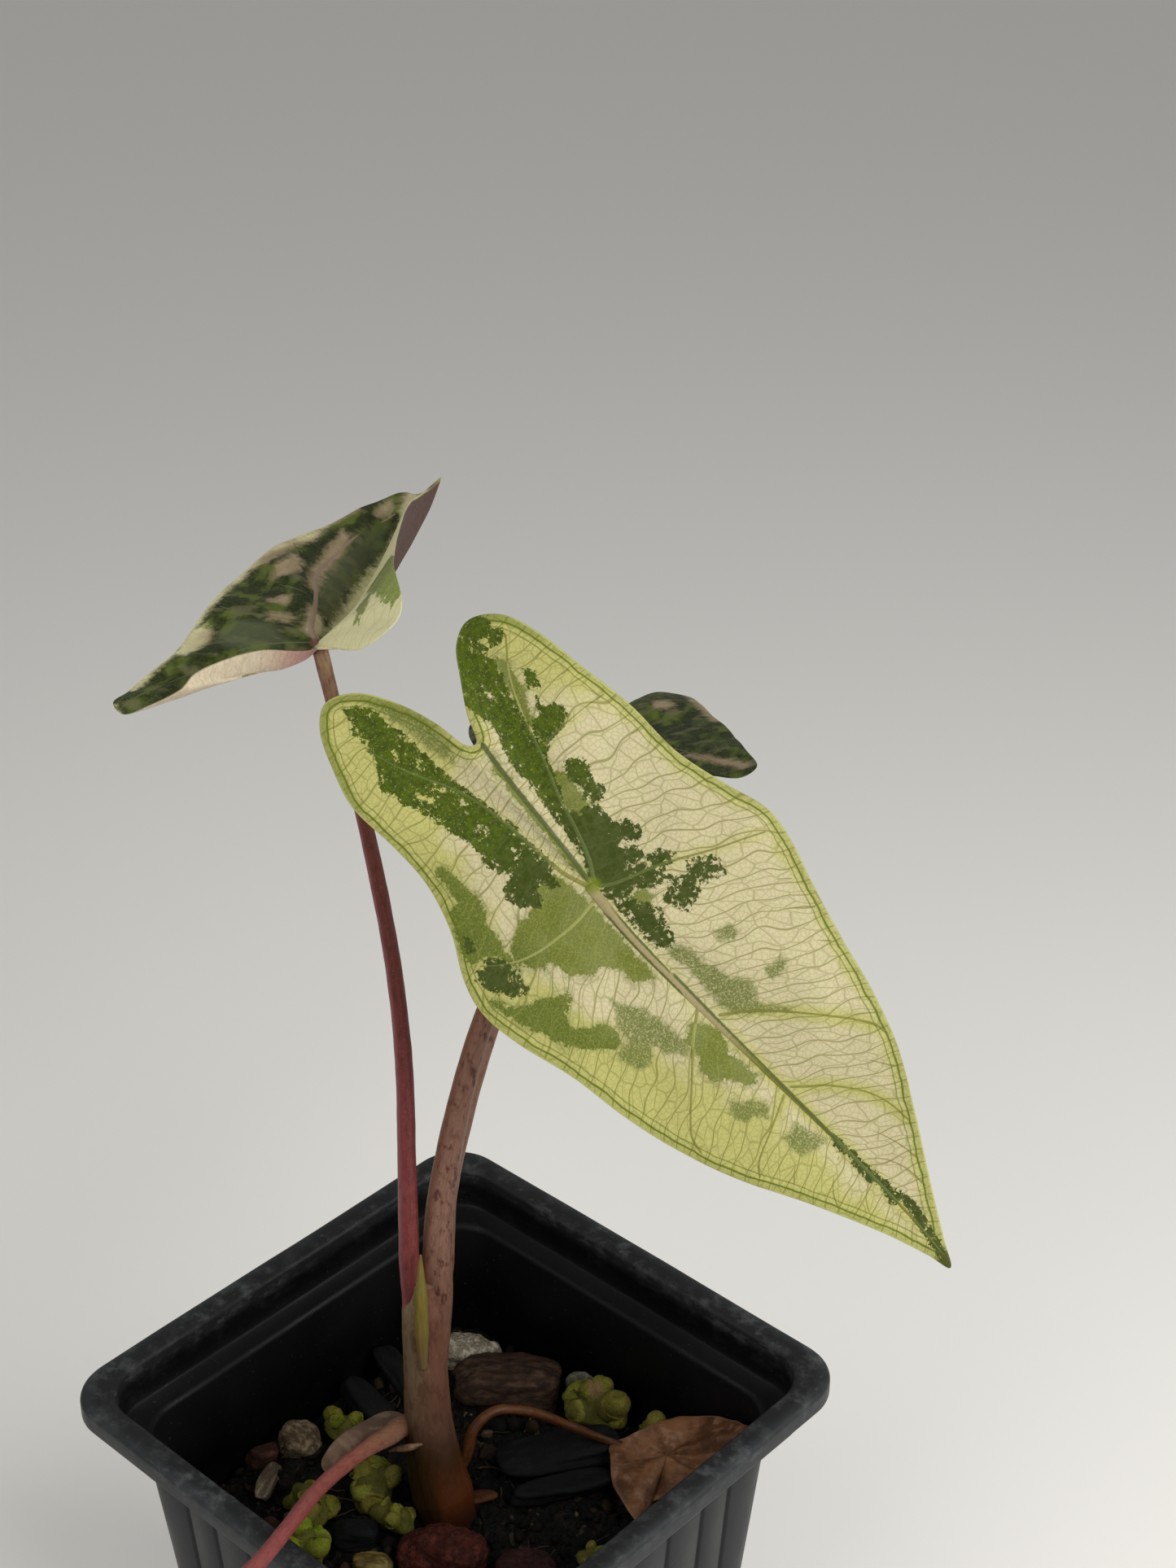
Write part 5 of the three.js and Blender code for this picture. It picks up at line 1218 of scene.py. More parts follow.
# Rounded squares, one for each row of half width, height, corner share and groove share: straight
# stations along each side, pushed in where a groove runs, then a quarter circle.
def squareRings(rows, stations, sunk, cornerSteps):
    half, z, corner, groove = (np.array(values)[:, None] for values in zip(*rows))
    straight = half * (1 - corner)
    squeeze = np.minimum(1, straight * 0.99 / np.abs(stations).max())
    angle = np.linspace(0, np.pi / 2, cornerSteps)
    out = [half - groove * pot["grooveDepth"] * sunk, straight + half * corner * np.cos(angle)]
    along = [stations * squeeze, straight + half * corner * np.sin(angle)]
    out, along = np.concatenate(out, 1), np.concatenate(along, 1)
    sides = [np.stack([out * c - along * s, out * s + along * c, z + 0 * out], -1)
             for c, s in ((1, 0), (0, 1), (-1, 0), (0, -1))]
    return np.concatenate(sides, 1)


# Rows round a bend of the profile, a quarter circle from one height or width to another.
def bend(fromHalf, fromZ, toHalf, toZ, corner, upFirst, steps=5):
    turn = np.linspace(0, np.pi / 2, steps)
    across, rise = (1 - np.cos(turn), np.sin(turn)) if upFirst else (np.sin(turn), 1 - np.cos(turn))
    return [(fromHalf + (toHalf - fromHalf) * a, fromZ + (toZ - fromZ) * r, corner, 0)
            for a, r in zip(across, rise)]


# The pot's profile from its underside up the outside, over the lip and down the inside: rows of half
# width, height, corner share and groove share.
def potRows():
    top, lip, r, wall = pot["height"], pot["rimHalf"], pot["lipRound"], pot["wall"]
    body, rim = pot["bodyCorner"], pot["rimCorner"]
    foot, shoulder, band = top - pot["lipHeight"], top - pot["shoulderDrop"], pot["bandHalf"]
    inner = lip - pot["lipWidth"]
    rows = [(pot["baseHalf"] - 0.8, 0, body, 0), (pot["baseHalf"] - 0.25, 0.2, body, 0.4),
            (pot["baseHalf"], 0.8, body, 1)]
    rows += [(bodyHalf(z), z, body, 1) for z in np.linspace(6, pot["grooveHead"] - 1, 12)]
    rows += [(bodyHalf(z), z, body, g) for z, g in ((77.7, 0.9), (78.4, 0.45), (79, 0), (79.9, 0))]
    rows += bend(bodyHalf(80), 80.1, band + wall - 0.6, 80.7, (body + rim) / 2, True, 4)
    rows += bend(band + wall - 0.5, 80.75, band + wall, 81.3, rim, False, 4)
    rows += [(band + wall, 83.5, rim, 0), (band + wall, foot - 0.4, rim, 0),
             (band + wall + 0.4, foot, rim, 0)]
    rows += bend(lip - 0.7, foot, lip, foot + 0.7, rim, False)
    rows += bend(lip, top - r, lip - r, top - 0.05, rim, True)
    rows += [(0.5 * (lip + inner), top, rim, 0)]
    rows += bend(inner + r, top - 0.05, inner, top - r, rim, False)
    rows += [(band, shoulder + 3, rim, 0), (band, shoulder + 0.9, rim, 0),
             (band - 0.35, shoulder + 0.35, rim, 0)]
    rows += [(bodyHalf(shoulder) - wall + 0.7, shoulder, (body + rim) / 2, 0),
             (bodyHalf(shoulder) - wall + 0.1, shoulder - 0.3, body, 0)]
    rows += [(bodyHalf(z) - wall, z, body, 0) for z in np.linspace(shoulder - 1.2, 2 * wall, 14)]
    rows += [(bodyHalf(wall) - 1.6 * wall, 1.2 * wall, body, 0),
             (bodyHalf(wall) - 2.4 * wall, wall, body, 0)]
    return rows


def potMaterial():
    colour = tints(pot["colours"])
    g = Graph("potPlastic", roughness=0.46, specular=0.14)
    where, height, outside = g.place(), g.read("height"), g.read("outside")
    cloud = g.noise(where, 14.0, 4.0, 0.6)
    scuffs = g.noise(g.stretch(where, (1.0, 1.0, 1.6)), 3.2, 5.0, 0.68)
    scratches = g.noise(g.stretch(where, (0.12, 0.12, 1.0)), 0.35, 3.0, 0.6)
    skin = g.mix(g.span(cloud, 0.35, 0.7), colour["black"], colour["grey"])
    onRim = g.span(height, 80.0, 86.0)
    dull = g.times(outside, g.span(cloud, 0.3, 0.75, 0.35, 0.9))
    skin = g.mix(g.times(dull, 0.8), skin, colour["outside"])
    # painted shade: the inside of the pot is made near black
    skin = g.mix(g.times(g.sum(g.times(outside, -1.0), 1.0), 0.95), skin, colour["inside"])
    marks = g.times(g.span(scuffs, 0.44, 0.76), g.span(cloud, 0.36, 0.64, 0.3, 1.0))
    upright = g.times(onRim, g.span(height, 86.2, 88.5, 0.15, 1.0))
    skin = g.mix(g.times(upright, 0.32), skin, colour["rim"])
    under = g.span(height, 66.0, 80.0, 0.0, 0.55)
    under = g.times(under, g.sum(g.times(onRim, -1.0), 1.0))
    skin = g.mix(under, skin, colour["shade"])
    skin = g.mix(g.times(g.times(marks, upright), 0.5), skin, colour["mark"])
    worn = g.times(g.span(scratches, 0.62, 0.7), upright)
    skin = g.mix(g.times(worn, 0.22), skin, colour["scratch"])
    # painted shade in the grooves
    skin = g.mix(g.times(g.read("groove"), 0.75), skin, colour["groove"])
    dust = g.noise(where, 0.5, 2.0)
    skin = g.mix(g.times(g.span(dust, 0.68, 0.76), 0.18), skin, colour["dust"])
    g.bump(g.sum(scuffs, g.times(scratches, 0.5)), 0.12, 0.35)
    return g.paint(skin, g.span(cloud, 0.3, 0.7, 0.36, 0.52))


# The pot as one closed grid: its profile's rows by stations round a rounded square. The walls bow
# a little by slow noise, and the rim waves up and down.
def makePot():
    centres = np.array(pot["grooves"], float)
    width = pot["grooveHalfWidth"]
    offsets = np.array([-1, -0.55, -0.3, 0, 0.3, 0.55, 1]) * width
    inGroove = np.array([0, 0.45, 0.9, 1, 0.9, 0.45, 0])
    stations = (centres[:, None] + offsets).ravel()
    sunk = np.tile(inGroove, len(centres))
    between = (centres[:-1] + centres[1:]) / 2
    stations = np.concatenate([stations, between])
    sunk = np.concatenate([sunk, between * 0])
    order = np.argsort(stations)
    rows = potRows()
    grid = squareRings(rows, stations[order], sunk[order], pot["cornerSteps"])
    z = grid[..., 2]
    bow = pot["bow"] * layeredNoise(grid * (1, 1, 0.5), 26, 2, 2) * smoothStep(2, 20, z)
    grid[..., :2] *= 1 + (bow / 40)[..., None]
    grid[..., 2] += 0.15 * layeredNoise(grid, 30, 1, 9) * smoothStep(60, 84, z)
    count = grid.shape[1]
    outsideRows = np.arange(len(rows)) < next(i for i, row in enumerate(rows) if row[1] == pot["height"])
    groove = np.tile(np.concatenate([sunk[order], np.zeros(pot["cornerSteps"])]), 4)
    share = np.array([row[3] for row in rows])
    fields = {
        "height": z.copy(),
        "outside": np.repeat(outsideRows[:, None], count, 1).astype(float),
        "groove": share[:, None] * groove,
    }
    drillDrains(gridPiece("potShell", grid, potMaterial(), ["pot"], fields))


# Four round holes through the floor, cut by a mesh of four short rods.
def drillDrains(shell):
    angle = np.linspace(0, 2 * np.pi, pot["drainSides"], endpoint=False)
    ring = np.stack([np.cos(angle), np.sin(angle), 0 * angle], -1) * pot["drainRadius"]
    rods = []
    for x, y in ((1, 1), (1, -1), (-1, 1), (-1, -1)):
        centre = np.array([x * pot["drainAt"], y * pot["drainAt"], 0])
        rods.append(closedGrid(np.stack([ring + centre + (0, 0, -2), ring + centre + (0, 0, 4)])))
    points, faces = joined(rods)
    mesh = bpy.data.meshes.new("drainRods")
    mesh.from_pydata((points * mm).tolist(), [], [tuple(f) for face in faces for f in face.tolist()])
    rod = bpy.data.objects.new("drainRods", mesh)
    bpy.context.scene.collection.objects.link(rod)
    cutter = shell.modifiers.new("drains", "BOOLEAN")
    cutter.operation = "DIFFERENCE"
    cutter.object = rod
    cutter.solver = "EXACT"
    bpy.context.view_layer.update()
    drilled = bpy.data.meshes.new_from_object(shell.evaluated_get(bpy.context.evaluated_depsgraph_get()))
    shell.modifiers.clear()
    shell.data = drilled
    bpy.data.objects.remove(rod)


makePot()
print("pot is moulded")


# Soil and what lies on it

soil = {
    "level": 61, "drop": 0.6, "lumps": 0.65, "foot": 1.55, "columns": 560, "rows": 102,
    "crumbs": [(3.4, 1.3, 11), (1.7, 0.8, 12), (0.9, 0.4, 13)],  # size, height, seed
    "cornerSteps": 30, "sideGap": 0.35, "topGap": 0.1, "sideHeights": (3.6, 20, 40, 56),
    "colours": {"black": (4, 4, 4), "dark": (11, 10, 9), "brown": (28, 20, 15), "beige": (56, 48, 36)},
}


# The soil's own level: slow waves of sines on a surface that falls with the squared distance.
def soilHeight(x, y):
    waves = np.sin(0.31 * x + 1.1) * np.cos(0.27 * y - 0.4) + 0.6 * np.sin(0.7 * x - 0.5 * y + 2)
    return soil["level"] - soil["drop"] * (x**2 + y**2) / pot["bodyTopHalf"] ** 2 + soil["lumps"] * waves


# A repeatable value from 0 to 1 for each whole-number place.
def cellValue(x, y, seed):
    code = (x * 73856093) ^ (y * 19349663) ^ (seed * 83492791)
    code = ((code & 0xFFFFFFFF) ^ ((code & 0xFFFFFFFF) >> 15)) * 2246822519
    return ((code ^ (code >> 13)) & 0xFFFF) / 0xFFFF


# Heaped crumbs: the highest of the domes whose centres are jittered on a grid, each dome the root
# of one less the squared distance over its own radius.
def crumbHeight(x, y, size, seed):
    best = np.zeros_like(x)
    cellX, cellY = np.floor(x / size).astype(np.int64), np.floor(y / size).astype(np.int64)
    for stepX, stepY in np.ndindex(3, 3):
        cx, cy = cellX + stepX - 1, cellY + stepY - 1
        radius = size * (0.35 + 0.4 * cellValue(cx, cy, seed + 2))
        centreX = (cx + cellValue(cx, cy, seed)) * size
        centreY = (cy + cellValue(cx, cy, seed + 1)) * size
        far = np.hypot(x - centreX, y - centreY)
        best = np.maximum(best, radius / size * np.sqrt(np.maximum(1 - (far / radius) ** 2, 0)))
    return best


# Soil level plus crumbs of three sizes plus fine noise.
def heapedSoil(x, y):
    flat = np.stack([x, y, 0 * x], -1)
    heap = soilHeight(x, y) - 0.6
    for size, height, seed in soil["crumbs"]:
        heap = heap + height * crumbHeight(x + 0.3 * latticeNoise(flat, seed), y, size, seed)
    return heap + 0.3 * layeredNoise(flat, 0.8, 2, 21)


def soilMaterial():
    colour = tints(soil["colours"])
    g = Graph("pottingMix", roughness=0.85, specular=0.12)
    where = g.place()
    grain = g.noise(where, 1.4, 5.0, 0.7)
    crumb = g.cells(where, 1.3, "F1", "Color")
    tone = g.add("ShaderNodeSeparateColor", {}, {"Color": crumb}, 0)
    skin = g.mix(g.span(grain, 0.35, 0.65), colour["black"], colour["dark"])
    skin = g.mix(g.times(g.span(tone, 0.76, 0.84), 0.6), skin, colour["brown"])
    skin = g.mix(g.times(g.span(tone, 0.96, 0.98), 0.6), skin, colour["beige"])
    g.bump(g.sum(grain, g.cells(where, 0.7, "F1")), 0.4, 0.8)
    return g.paint(skin, g.span(grain, 0.35, 0.65, 0.62, 0.92))


# The soil as one closed grid: rounded squares up the pot's wall, then shrinking ones across the top,
# where each point's height is the heaped soil's.
def makeSoil():
    cornerSteps = soil["cornerSteps"]
    stations = np.linspace(-0.99, 0.99, soil["columns"] // 4 - cornerSteps)
    edge = bodyHalf(soil["level"] - 2) - pot["wall"] - soil["topGap"]
    corner = pot["bodyCorner"]
    rows = [(bodyHalf(soil["foot"]) - pot["wall"] - 1.5, soil["foot"], corner, 0)]
    rows += [(bodyHalf(z) - pot["wall"] - soil["sideGap"], z, corner, 0) for z in soil["sideHeights"]]
    wallRows = len(rows)
    share = np.linspace(1, 0.004, soil["rows"])
    rows += [(edge * s, 0, corner, 0) for s in share]
    half, z, *_ = (np.array(values)[:, None] for values in zip(*rows))
    unitGrid = squareRings([(1, 0, corner, 0)], stations * (1 - corner), 0 * stations, cornerSteps)
    grid = unitGrid * half[..., None]
    grid[..., 2] = z
    top = grid[wallRows:]
    fade = smoothStep(1.0, 0.97, share)[:, None]
    ground = soilHeight(top[..., 0], top[..., 1]) - 1.2
    top[..., 2] = ground + fade * (heapedSoil(top[..., 0], top[..., 1]) - ground)
    return gridPiece("pottingSoil", grid, soilMaterial(), ["soil"])


makeSoil()

looseBits = {
    "crumbs": 950, "seed": 5, "small": 0.45, "large": 1.5, "keepOff": 5.0,
    "fibres": 46, "fibreReach": 33, "fibreKeepOff": 6, "fibreLength": (3, 9), "fibreRadius": (0.1, 0.24),
    "colours": {"black": (6, 5, 5), "dark": (15, 12, 10), "brown": (38, 27, 19), "beige": (76, 64, 46),
                "dirt": (8, 7, 6), "fibreDark": (18, 13, 10), "fibrePale": (60, 44, 28)},
}


# Loose crumbs: one low ball of few faces is squeezed, turned and roughened for every crumb.
def makeCrumbs():
    random = np.random.default_rng(looseBits["seed"])
    count = looseBits["crumbs"]
    base, faces = closedGrid(ballGrid(0.12, 6, 8))
    reach = bodyHalf(soil["level"]) - pot["wall"] - 1
    # twice as many places as are needed, because those by the stem and in the pot's corners fall out
    centre = random.uniform(-reach, reach, (count * 2, 2))
    corner = np.linalg.norm(np.maximum(np.abs(centre) - reach * 0.8, 0), axis=1)
    offStem = np.hypot(centre[:, 0] + 1, centre[:, 1] + 2) > looseBits["keepOff"]
    centre = centre[offStem & (corner < reach * 0.19)][:count]
    count = len(centre)
    size = looseBits["small"] + (looseBits["large"] - looseBits["small"]) * random.random(count) ** 3
    axes = size[:, None] * random.uniform(0.55, 1.25, (count, 3)) * (1, 1, 0.8)
    first = unit(random.normal(size=(count, 3)))
    second = unit(np.cross(first, random.normal(size=(count, 3))))
    frames = np.stack([first, second, np.cross(first, second)], 1)
    rough = 1 + 0.22 * random.uniform(-1, 1, (count, len(base), 1))
    local = base[None] * rough * axes[:, None]
    points = np.einsum("cvk,ckj->cvj", local, frames)
    height = heapedSoil(centre[:, 0], centre[:, 1]) + 0.35 * size
    points += np.concatenate([centre, height[:, None]], 1)[:, None]
    step = (np.arange(count) * len(base))[:, None, None]
    faces = [(face[None] + step).reshape(-1, face.shape[1]) for face in faces]
    tone = np.repeat(random.random(count), len(base))
    colour = tints(looseBits["colours"])
    g = Graph("crumbSkin", roughness=0.85, specular=0.12)
    grain = g.noise(g.place(), 0.5, 4.0, 0.65)
    shade = g.read("tone")
    skin = g.mix(g.span(shade, 0.0, 0.7), colour["black"], colour["dark"])
    skin = g.mix(g.span(shade, 0.84, 0.9), skin, colour["brown"])
    skin = g.mix(g.span(shade, 0.95, 0.97), skin, colour["beige"])
    skin = g.mix(g.span(grain, 0.4, 0.7, 0.0, 0.5), skin, colour["dirt"])
    g.bump(grain, 0.2, 0.7)
    points = points.reshape(-1, 3)
    makePiece("soilCrumbs", points, faces, g.paint(skin), fields={"tone": tone})


makeCrumbs()


# Thin fibres of bark and root that lie over the crumbs in slight curves.
def makeFibres():
    random = np.random.default_rng(looseBits["seed"] + 1)
    strands = []
    while len(strands) < looseBits["fibres"]:
        start = random.uniform(-looseBits["fibreReach"], looseBits["fibreReach"], 2)
        heading, turn = random.uniform(0, 2 * np.pi), random.normal(0, 0.12)
        length = random.uniform(*looseBits["fibreLength"])
        headings = heading + turn * np.arange(6)
        step = np.stack([np.cos(headings), np.sin(headings)], -1) * length / 6
        flat = np.concatenate([[start], start + np.cumsum(step, 0)])
        byStem = np.hypot(flat[:, 0] + 1, flat[:, 1] + 2).min() < looseBits["fibreKeepOff"]
        if byStem or np.abs(flat).max() > looseBits["fibreReach"] + 1:
            continue
        lift = heapedSoil(flat[:, 0], flat[:, 1]) + 0.35
        radius = random.uniform(*looseBits["fibreRadius"])
        path = np.concatenate([flat, np.maximum(lift, lift.mean())[:, None]], 1)
        grid, _ = tubeGrid(path, [radius, radius, radius * 0.5], 14, 6)
        strands.append(closedGrid(grid))
    points, faces = joined(strands)
    colour = tints(looseBits["colours"])
    g = Graph("fibreSkin", roughness=0.8, specular=0.2)
    tone = g.noise(g.place(), 3.0, 2.0)
    skin = g.mix(g.span(tone, 0.35, 0.65), colour["fibreDark"], colour["fibrePale"])
    makePiece("soilFibres", points, faces, g.paint(skin))


makeFibres()

toppings = {  # name: node, slot, look, size, place, turn, tilt, squareness, roughness, seed
    "barkBlock": ("bark_block", "bark", "bark", (19, 9.5, 9),
        (-13.2, 25.2, 63.8), 38, 0, 3.6, 0.06, 1),
    "pumiceWhite": ("pumice_white", "pumice", "pumice", (11, 6, 6),
        (-24.6, 25.8, 63.8), 34, 0, 2.6, 0.1, 2),
    "slabUpper": ("slab_upper", "slate", "slate", (20, 8, 3.4),
        (5.2, 18.6, 64.8), 58, -3, 4, 0.08, 3),
    "slabLower": ("slab_lower", "slate", "slate", (16, 4.2, 3),
        (10.6, 13.4, 64), 55, -4, 3.6, 0.08, 4),
    "slabBackUpper": ("slab_back_upper", "slate", "slate", (12.5, 4.6, 4),
        (-28.2, 13.6, 64.4), -8, 16, 3, 0.08, 5),
    "slabBackLower": ("slab_back_lower", "slate", "slate", (12.5, 4.6, 4),
        (-27.8, 5.4, 63.6), -6, 12, 3, 0.08, 6),
    "slateFront": ("slate_front", "slate", "slate", (7.6, 5, 5),
        (-8.2, -16, 62), 40, 0, 3, 0.08, 20),
    "chipGrey": ("chip_grey", "wood_chip", "greyChip", (5.5, 2.2, 6.4),
        (-3.2, 33.2, 64), 30, 0, 2.6, 0.04, 9),
    "corkLeft": ("cork_left", "wood_chip", "cork", (7, 6, 5.8),
        (-30.4, -8.5, 62.8), 10, 0, 2.6, 0.12, 10),
    "chipBeigeLong": ("chip_beige_long", "wood_chip", "chip", (10, 3, 3),
        (-27.6, -18, 62.4), -58, -10, 3, 0.08, 12),
    "chipBeigeShort": ("chip_beige_short", "wood_chip", "chip", (5, 3.6, 3.2),
        (-31.6, -26.4, 62), 30, 0, 3, 0.08, 13),
    "chipRed": ("chip_red", "wood_chip", "redChip", (5.5, 3.6, 3.8),
        (-32.8, -14.4, 62.2), 70, 0, 3, 0.08, 14),
    "chipBrown": ("chip_brown", "wood_chip", "redChip", (5, 4.4, 4),
        (-18.6, -25, 62.2), 20, 0, 3, 0.08, 15),
    "chipYellow": ("chip_yellow", "wood_chip", "yellowChip", (6, 3.8, 3.4),
        (-1.6, -18.8, 62.4), 40, 0, 2.6, 0.1, 21),
    "clayRed": ("clay_red", "fired_clay", "clay", (14.6, 10, 8.4),
        (6.6, -10.4, 63.6), 42, 0, 2.4, 0.08, 22),
    "clayDark": ("clay_dark", "fired_clay", "darkClay", (9.5, 6, 5.4),
        (17.6, -3.2, 62.8), 45, 0, 2.6, 0.08, 23),
    "rootNub": ("root_nub", "root", "root", (8, 2.8, 2.7),
        (1.2, 1.4, 63.4), 50, -8, 2.3, 0.1, 25),
}
mossClumps = {  # name: node, size, place, turn, seed, brightness, lobes
    "mossBackLarge": ("moss_back_large", (12.5, 8.5, 8.5), (2.7, 30.1, 65), 20, 7, 0.3, 7),
    "mossBackSmall": ("moss_back_small", (8.6, 5.6, 6.2), (15.4, 32, 65), 20, 8, 0.15, 5),
    "mossLeft": ("moss_left", (6.4, 5.8, 5.8), (-27.2, -1.4, 62.8), 0, 11, 0.5, 3),
    "mossFrontTall": ("moss_front_tall", (12, 7, 8), (-12.4, -8, 64), -50, 16, 0.35, 7),
    "mossFrontLeft": ("moss_front_left", (9.5, 6.5, 6.5), (-17.6, -17.6, 63.2), -30, 17, 0.3, 6),
    "mossFrontBright": ("moss_front_bright", (10.6, 7, 7), (-10.6, -24.8, 63.4), -50, 18, 0.95, 5),
    "mossStrip": ("moss_strip", (9.5, 5, 6), (-5.4, -10.6, 63.6), 8, 19, 0.4, 5),
    "mossRight": ("moss_right", (6.5, 3.4, 3.4), (23.8, 6.4, 62.6), 60, 24, 0.1, 3),
}
# Colours from dark to pale, relief in mm, grain stretch, then how strong the pores are and the place and
# radius of a hole, where there are any; pores and hole are darkened with painted shade.
lumpLooks = {
    "bark": {"colours": [(26, 16, 12), (50, 34, 24), (70, 54, 42)], "relief": 0.5, "grain": (0.3, 1, 1),
             "hole": (3.4, -1.6, 3.6, 1.5)},
    "pumice": {"colours": [(87, 80, 68), (132, 123, 105), (158, 152, 139)], "relief": 0.4,
               "grain": (1, 1, 1), "pores": 1.0},
    "slate": {"colours": [(4, 4, 5), (9, 10, 11), (17, 19, 20)], "relief": 0.15, "grain": (0.25, 0.7, 1.6)},
    "greyChip": {"colours": [(60, 60, 49), (90, 90, 76), (112, 111, 97)], "relief": 0.2,
                 "grain": (1, 1, 0.3)},
    "cork": {"colours": [(52, 39, 26), (92, 78, 58), (120, 108, 86)], "relief": 0.5, "grain": (0.7, 1, 1),
             "pores": 0.6},
    "chip": {"colours": [(60, 50, 38), (98, 86, 69), (122, 112, 94)], "relief": 0.25,
             "grain": (0.22, 1, 1)},
    "redChip": {"colours": [(30, 15, 11), (52, 29, 20), (72, 47, 35)], "relief": 0.3, "grain": (0.3, 1, 1)},
    "yellowChip": {"colours": [(63, 50, 20), (102, 86, 41), (125, 112, 65)], "relief": 0.3,
                   "grain": (0.4, 1, 1), "pores": 0.3},
    "clay": {"colours": [(34, 11, 8), (64, 23, 16), (82, 42, 32)], "relief": 0.3, "grain": (1, 1, 1),
             "pores": 0.45, "hole": (3.0, -0.6, 2.6, 1.7)},
    "darkClay": {"colours": [(24, 10, 11), (42, 18, 18), (58, 33, 30)], "relief": 0.25, "grain": (1, 1, 1),
                 "pores": 0.4},
    "root": {"colours": [(42, 17, 6), (62, 30, 11), (72, 44, 25)], "relief": 0.2, "grain": (0.3, 1, 1)},
}
# painted shade in a lump's hole
holeShade = (16, 12, 11)


# A rough lump: a direction on the ball divided by the sum of its parts' powers, to the inverse
# power, draws the ball out towards a box; slow waves and layered noise then roughen it.
def lumpGrid(size, squareness, rough, seed, relief, grain, rows=40, columns=64):
    ball = ballGrid(0.012, rows, columns)
    power = (np.abs(ball) ** squareness).sum(-1)
    x, y, z = (ball[..., k] for k in range(3))
    waves = np.sin(3.1 * x + seed) * np.sin(2.7 * y + 2 * seed) + np.sin(4.3 * z + 3 * seed + 2 * x)
    local = ball * (power ** (-1 / squareness) * (1 + rough * waves))[..., None] * (np.array(size) / 2)
    away = unit(local / (np.array(size) / 2) ** 2)
    relief = relief * layeredNoise(local * grain, 1.9, 4, seed) - 0.25 * relief
    return local + away * relief[..., None], away


# Local places turned about Y by tilt and about Z by turn, then moved.
def settle(local, at, turn, tilt=0):
    return local @ (turnMatrix(0, 1, turn) @ turnMatrix(2, 0, tilt)).T + at


# The grain follows the lump, so the material reads its places from before it is turned.
def lumpMaterial(name, look):
    dark, main, pale = (tint(*colour) for colour in look["colours"])
    g = Graph(name + "Skin", roughness=0.78, specular=0.14)
    where = g.read("own", "Vector")
    along = g.stretch(where, look["grain"])
    grain = g.noise(along, 1.1, 6.0, 0.68)
    blotch = g.noise(where, 3.2, 4.0, 0.6)
    skin = g.mix(g.span(blotch, 0.35, 0.65), main, pale)
    skin = g.mix(g.span(grain, 0.42, 0.62, 0.85, 0.0), skin, dark)
    height = g.sum(grain, g.times(blotch, 0.5))
    pores = look.get("pores", 0.0)
    if pores > 0:
        pit = g.span(g.cells(g.warp(where, 0.9, 0.5), 0.8, "F1"), 0.1, 0.34, 1.0, 0.0)
        # painted shade in the pits
        skin = g.mix(g.times(pit, 0.8 * pores), skin, dark)
        height = g.sum(height, g.times(pit, -pores))
    # painted shade in the hole
    skin = g.mix(g.read("hole"), skin, tint(*holeShade))
    g.bump(height, 0.35, 0.7)
    return g.paint(skin, g.span(grain, 0.3, 0.7, 0.68, 0.9))


lumpMaterials = {key: lumpMaterial(key, look) for key, look in lumpLooks.items()}


# A lump laid on the soil; a hole presses its surface in within the hole's radius, and its dark colour is
# painted shade.
def makeTopping(name, node, slot, look, size, at, turn, tilt, squareness, rough, seed):
    style = lumpLooks[look]
    local, away = lumpGrid(size, squareness, rough, seed, style["relief"], style["grain"])
    hole = np.zeros(local.shape[:2])
    if "hole" in style:
        x, y, z, radius = style["hole"]
        hole = smoothStep(radius, 0.55 * radius, np.linalg.norm(local - (x, y, z), axis=-1))
        local = local - away * (1.1 * hole)[..., None]
    grid = settle(local, at, turn, tilt)
    return gridPiece(name, grid, lumpMaterials[look], [node], {"own": local, "hole": hole})


for toppingName, toppingSpec in toppings.items():
    makeTopping(toppingName, *toppingSpec)


# root is painted shade at the lobes' bases and over the core between them
mossColours = {
    "dull": (100, 92, 32), "bright": (108, 124, 12), "pale": (124, 118, 54), "deep": (50, 54, 12),
    "root": (20, 21, 8), "pink": (120, 90, 66), "fuzz": (34, 37, 10),
}


def mossMaterial():
    colour = tints(mossColours)
    g = Graph("mossSkin", roughness=0.8, specular=0.2)
    where = g.place()
    fuzz = g.noise(where, 0.35, 5.0, 0.7)
    patch = g.noise(where, 2.0, 3.0)
    skin = g.mix(g.read("bright"), colour["dull"], colour["bright"])
    skin = g.mix(g.span(patch, 0.4, 0.7, 0.0, 0.6), skin, colour["pale"])
    skin = g.mix(g.span(patch, 0.26, 0.46, 0.6, 0.0), skin, colour["deep"])
    # painted shade at the lobes' bases and over the core
    skin = g.mix(g.read("root"), skin, colour["root"])
    skin = g.mix(g.read("pinkness"), skin, colour["pink"])
    skin = g.mix(g.span(fuzz, 0.35, 0.6, 0.45, 0.0), skin, colour["fuzz"])
    g.bump(fuzz, 0.3, 0.9)
    return g.paint(skin)


mossSkin = mossMaterial()


goldenAngle = 2.39996  # spreads the lobes evenly over a clump's upper half
mossMesh = {"coreRows": 30, "coreColumns": 44, "lobeRings": 22, "lobeSides": 16}


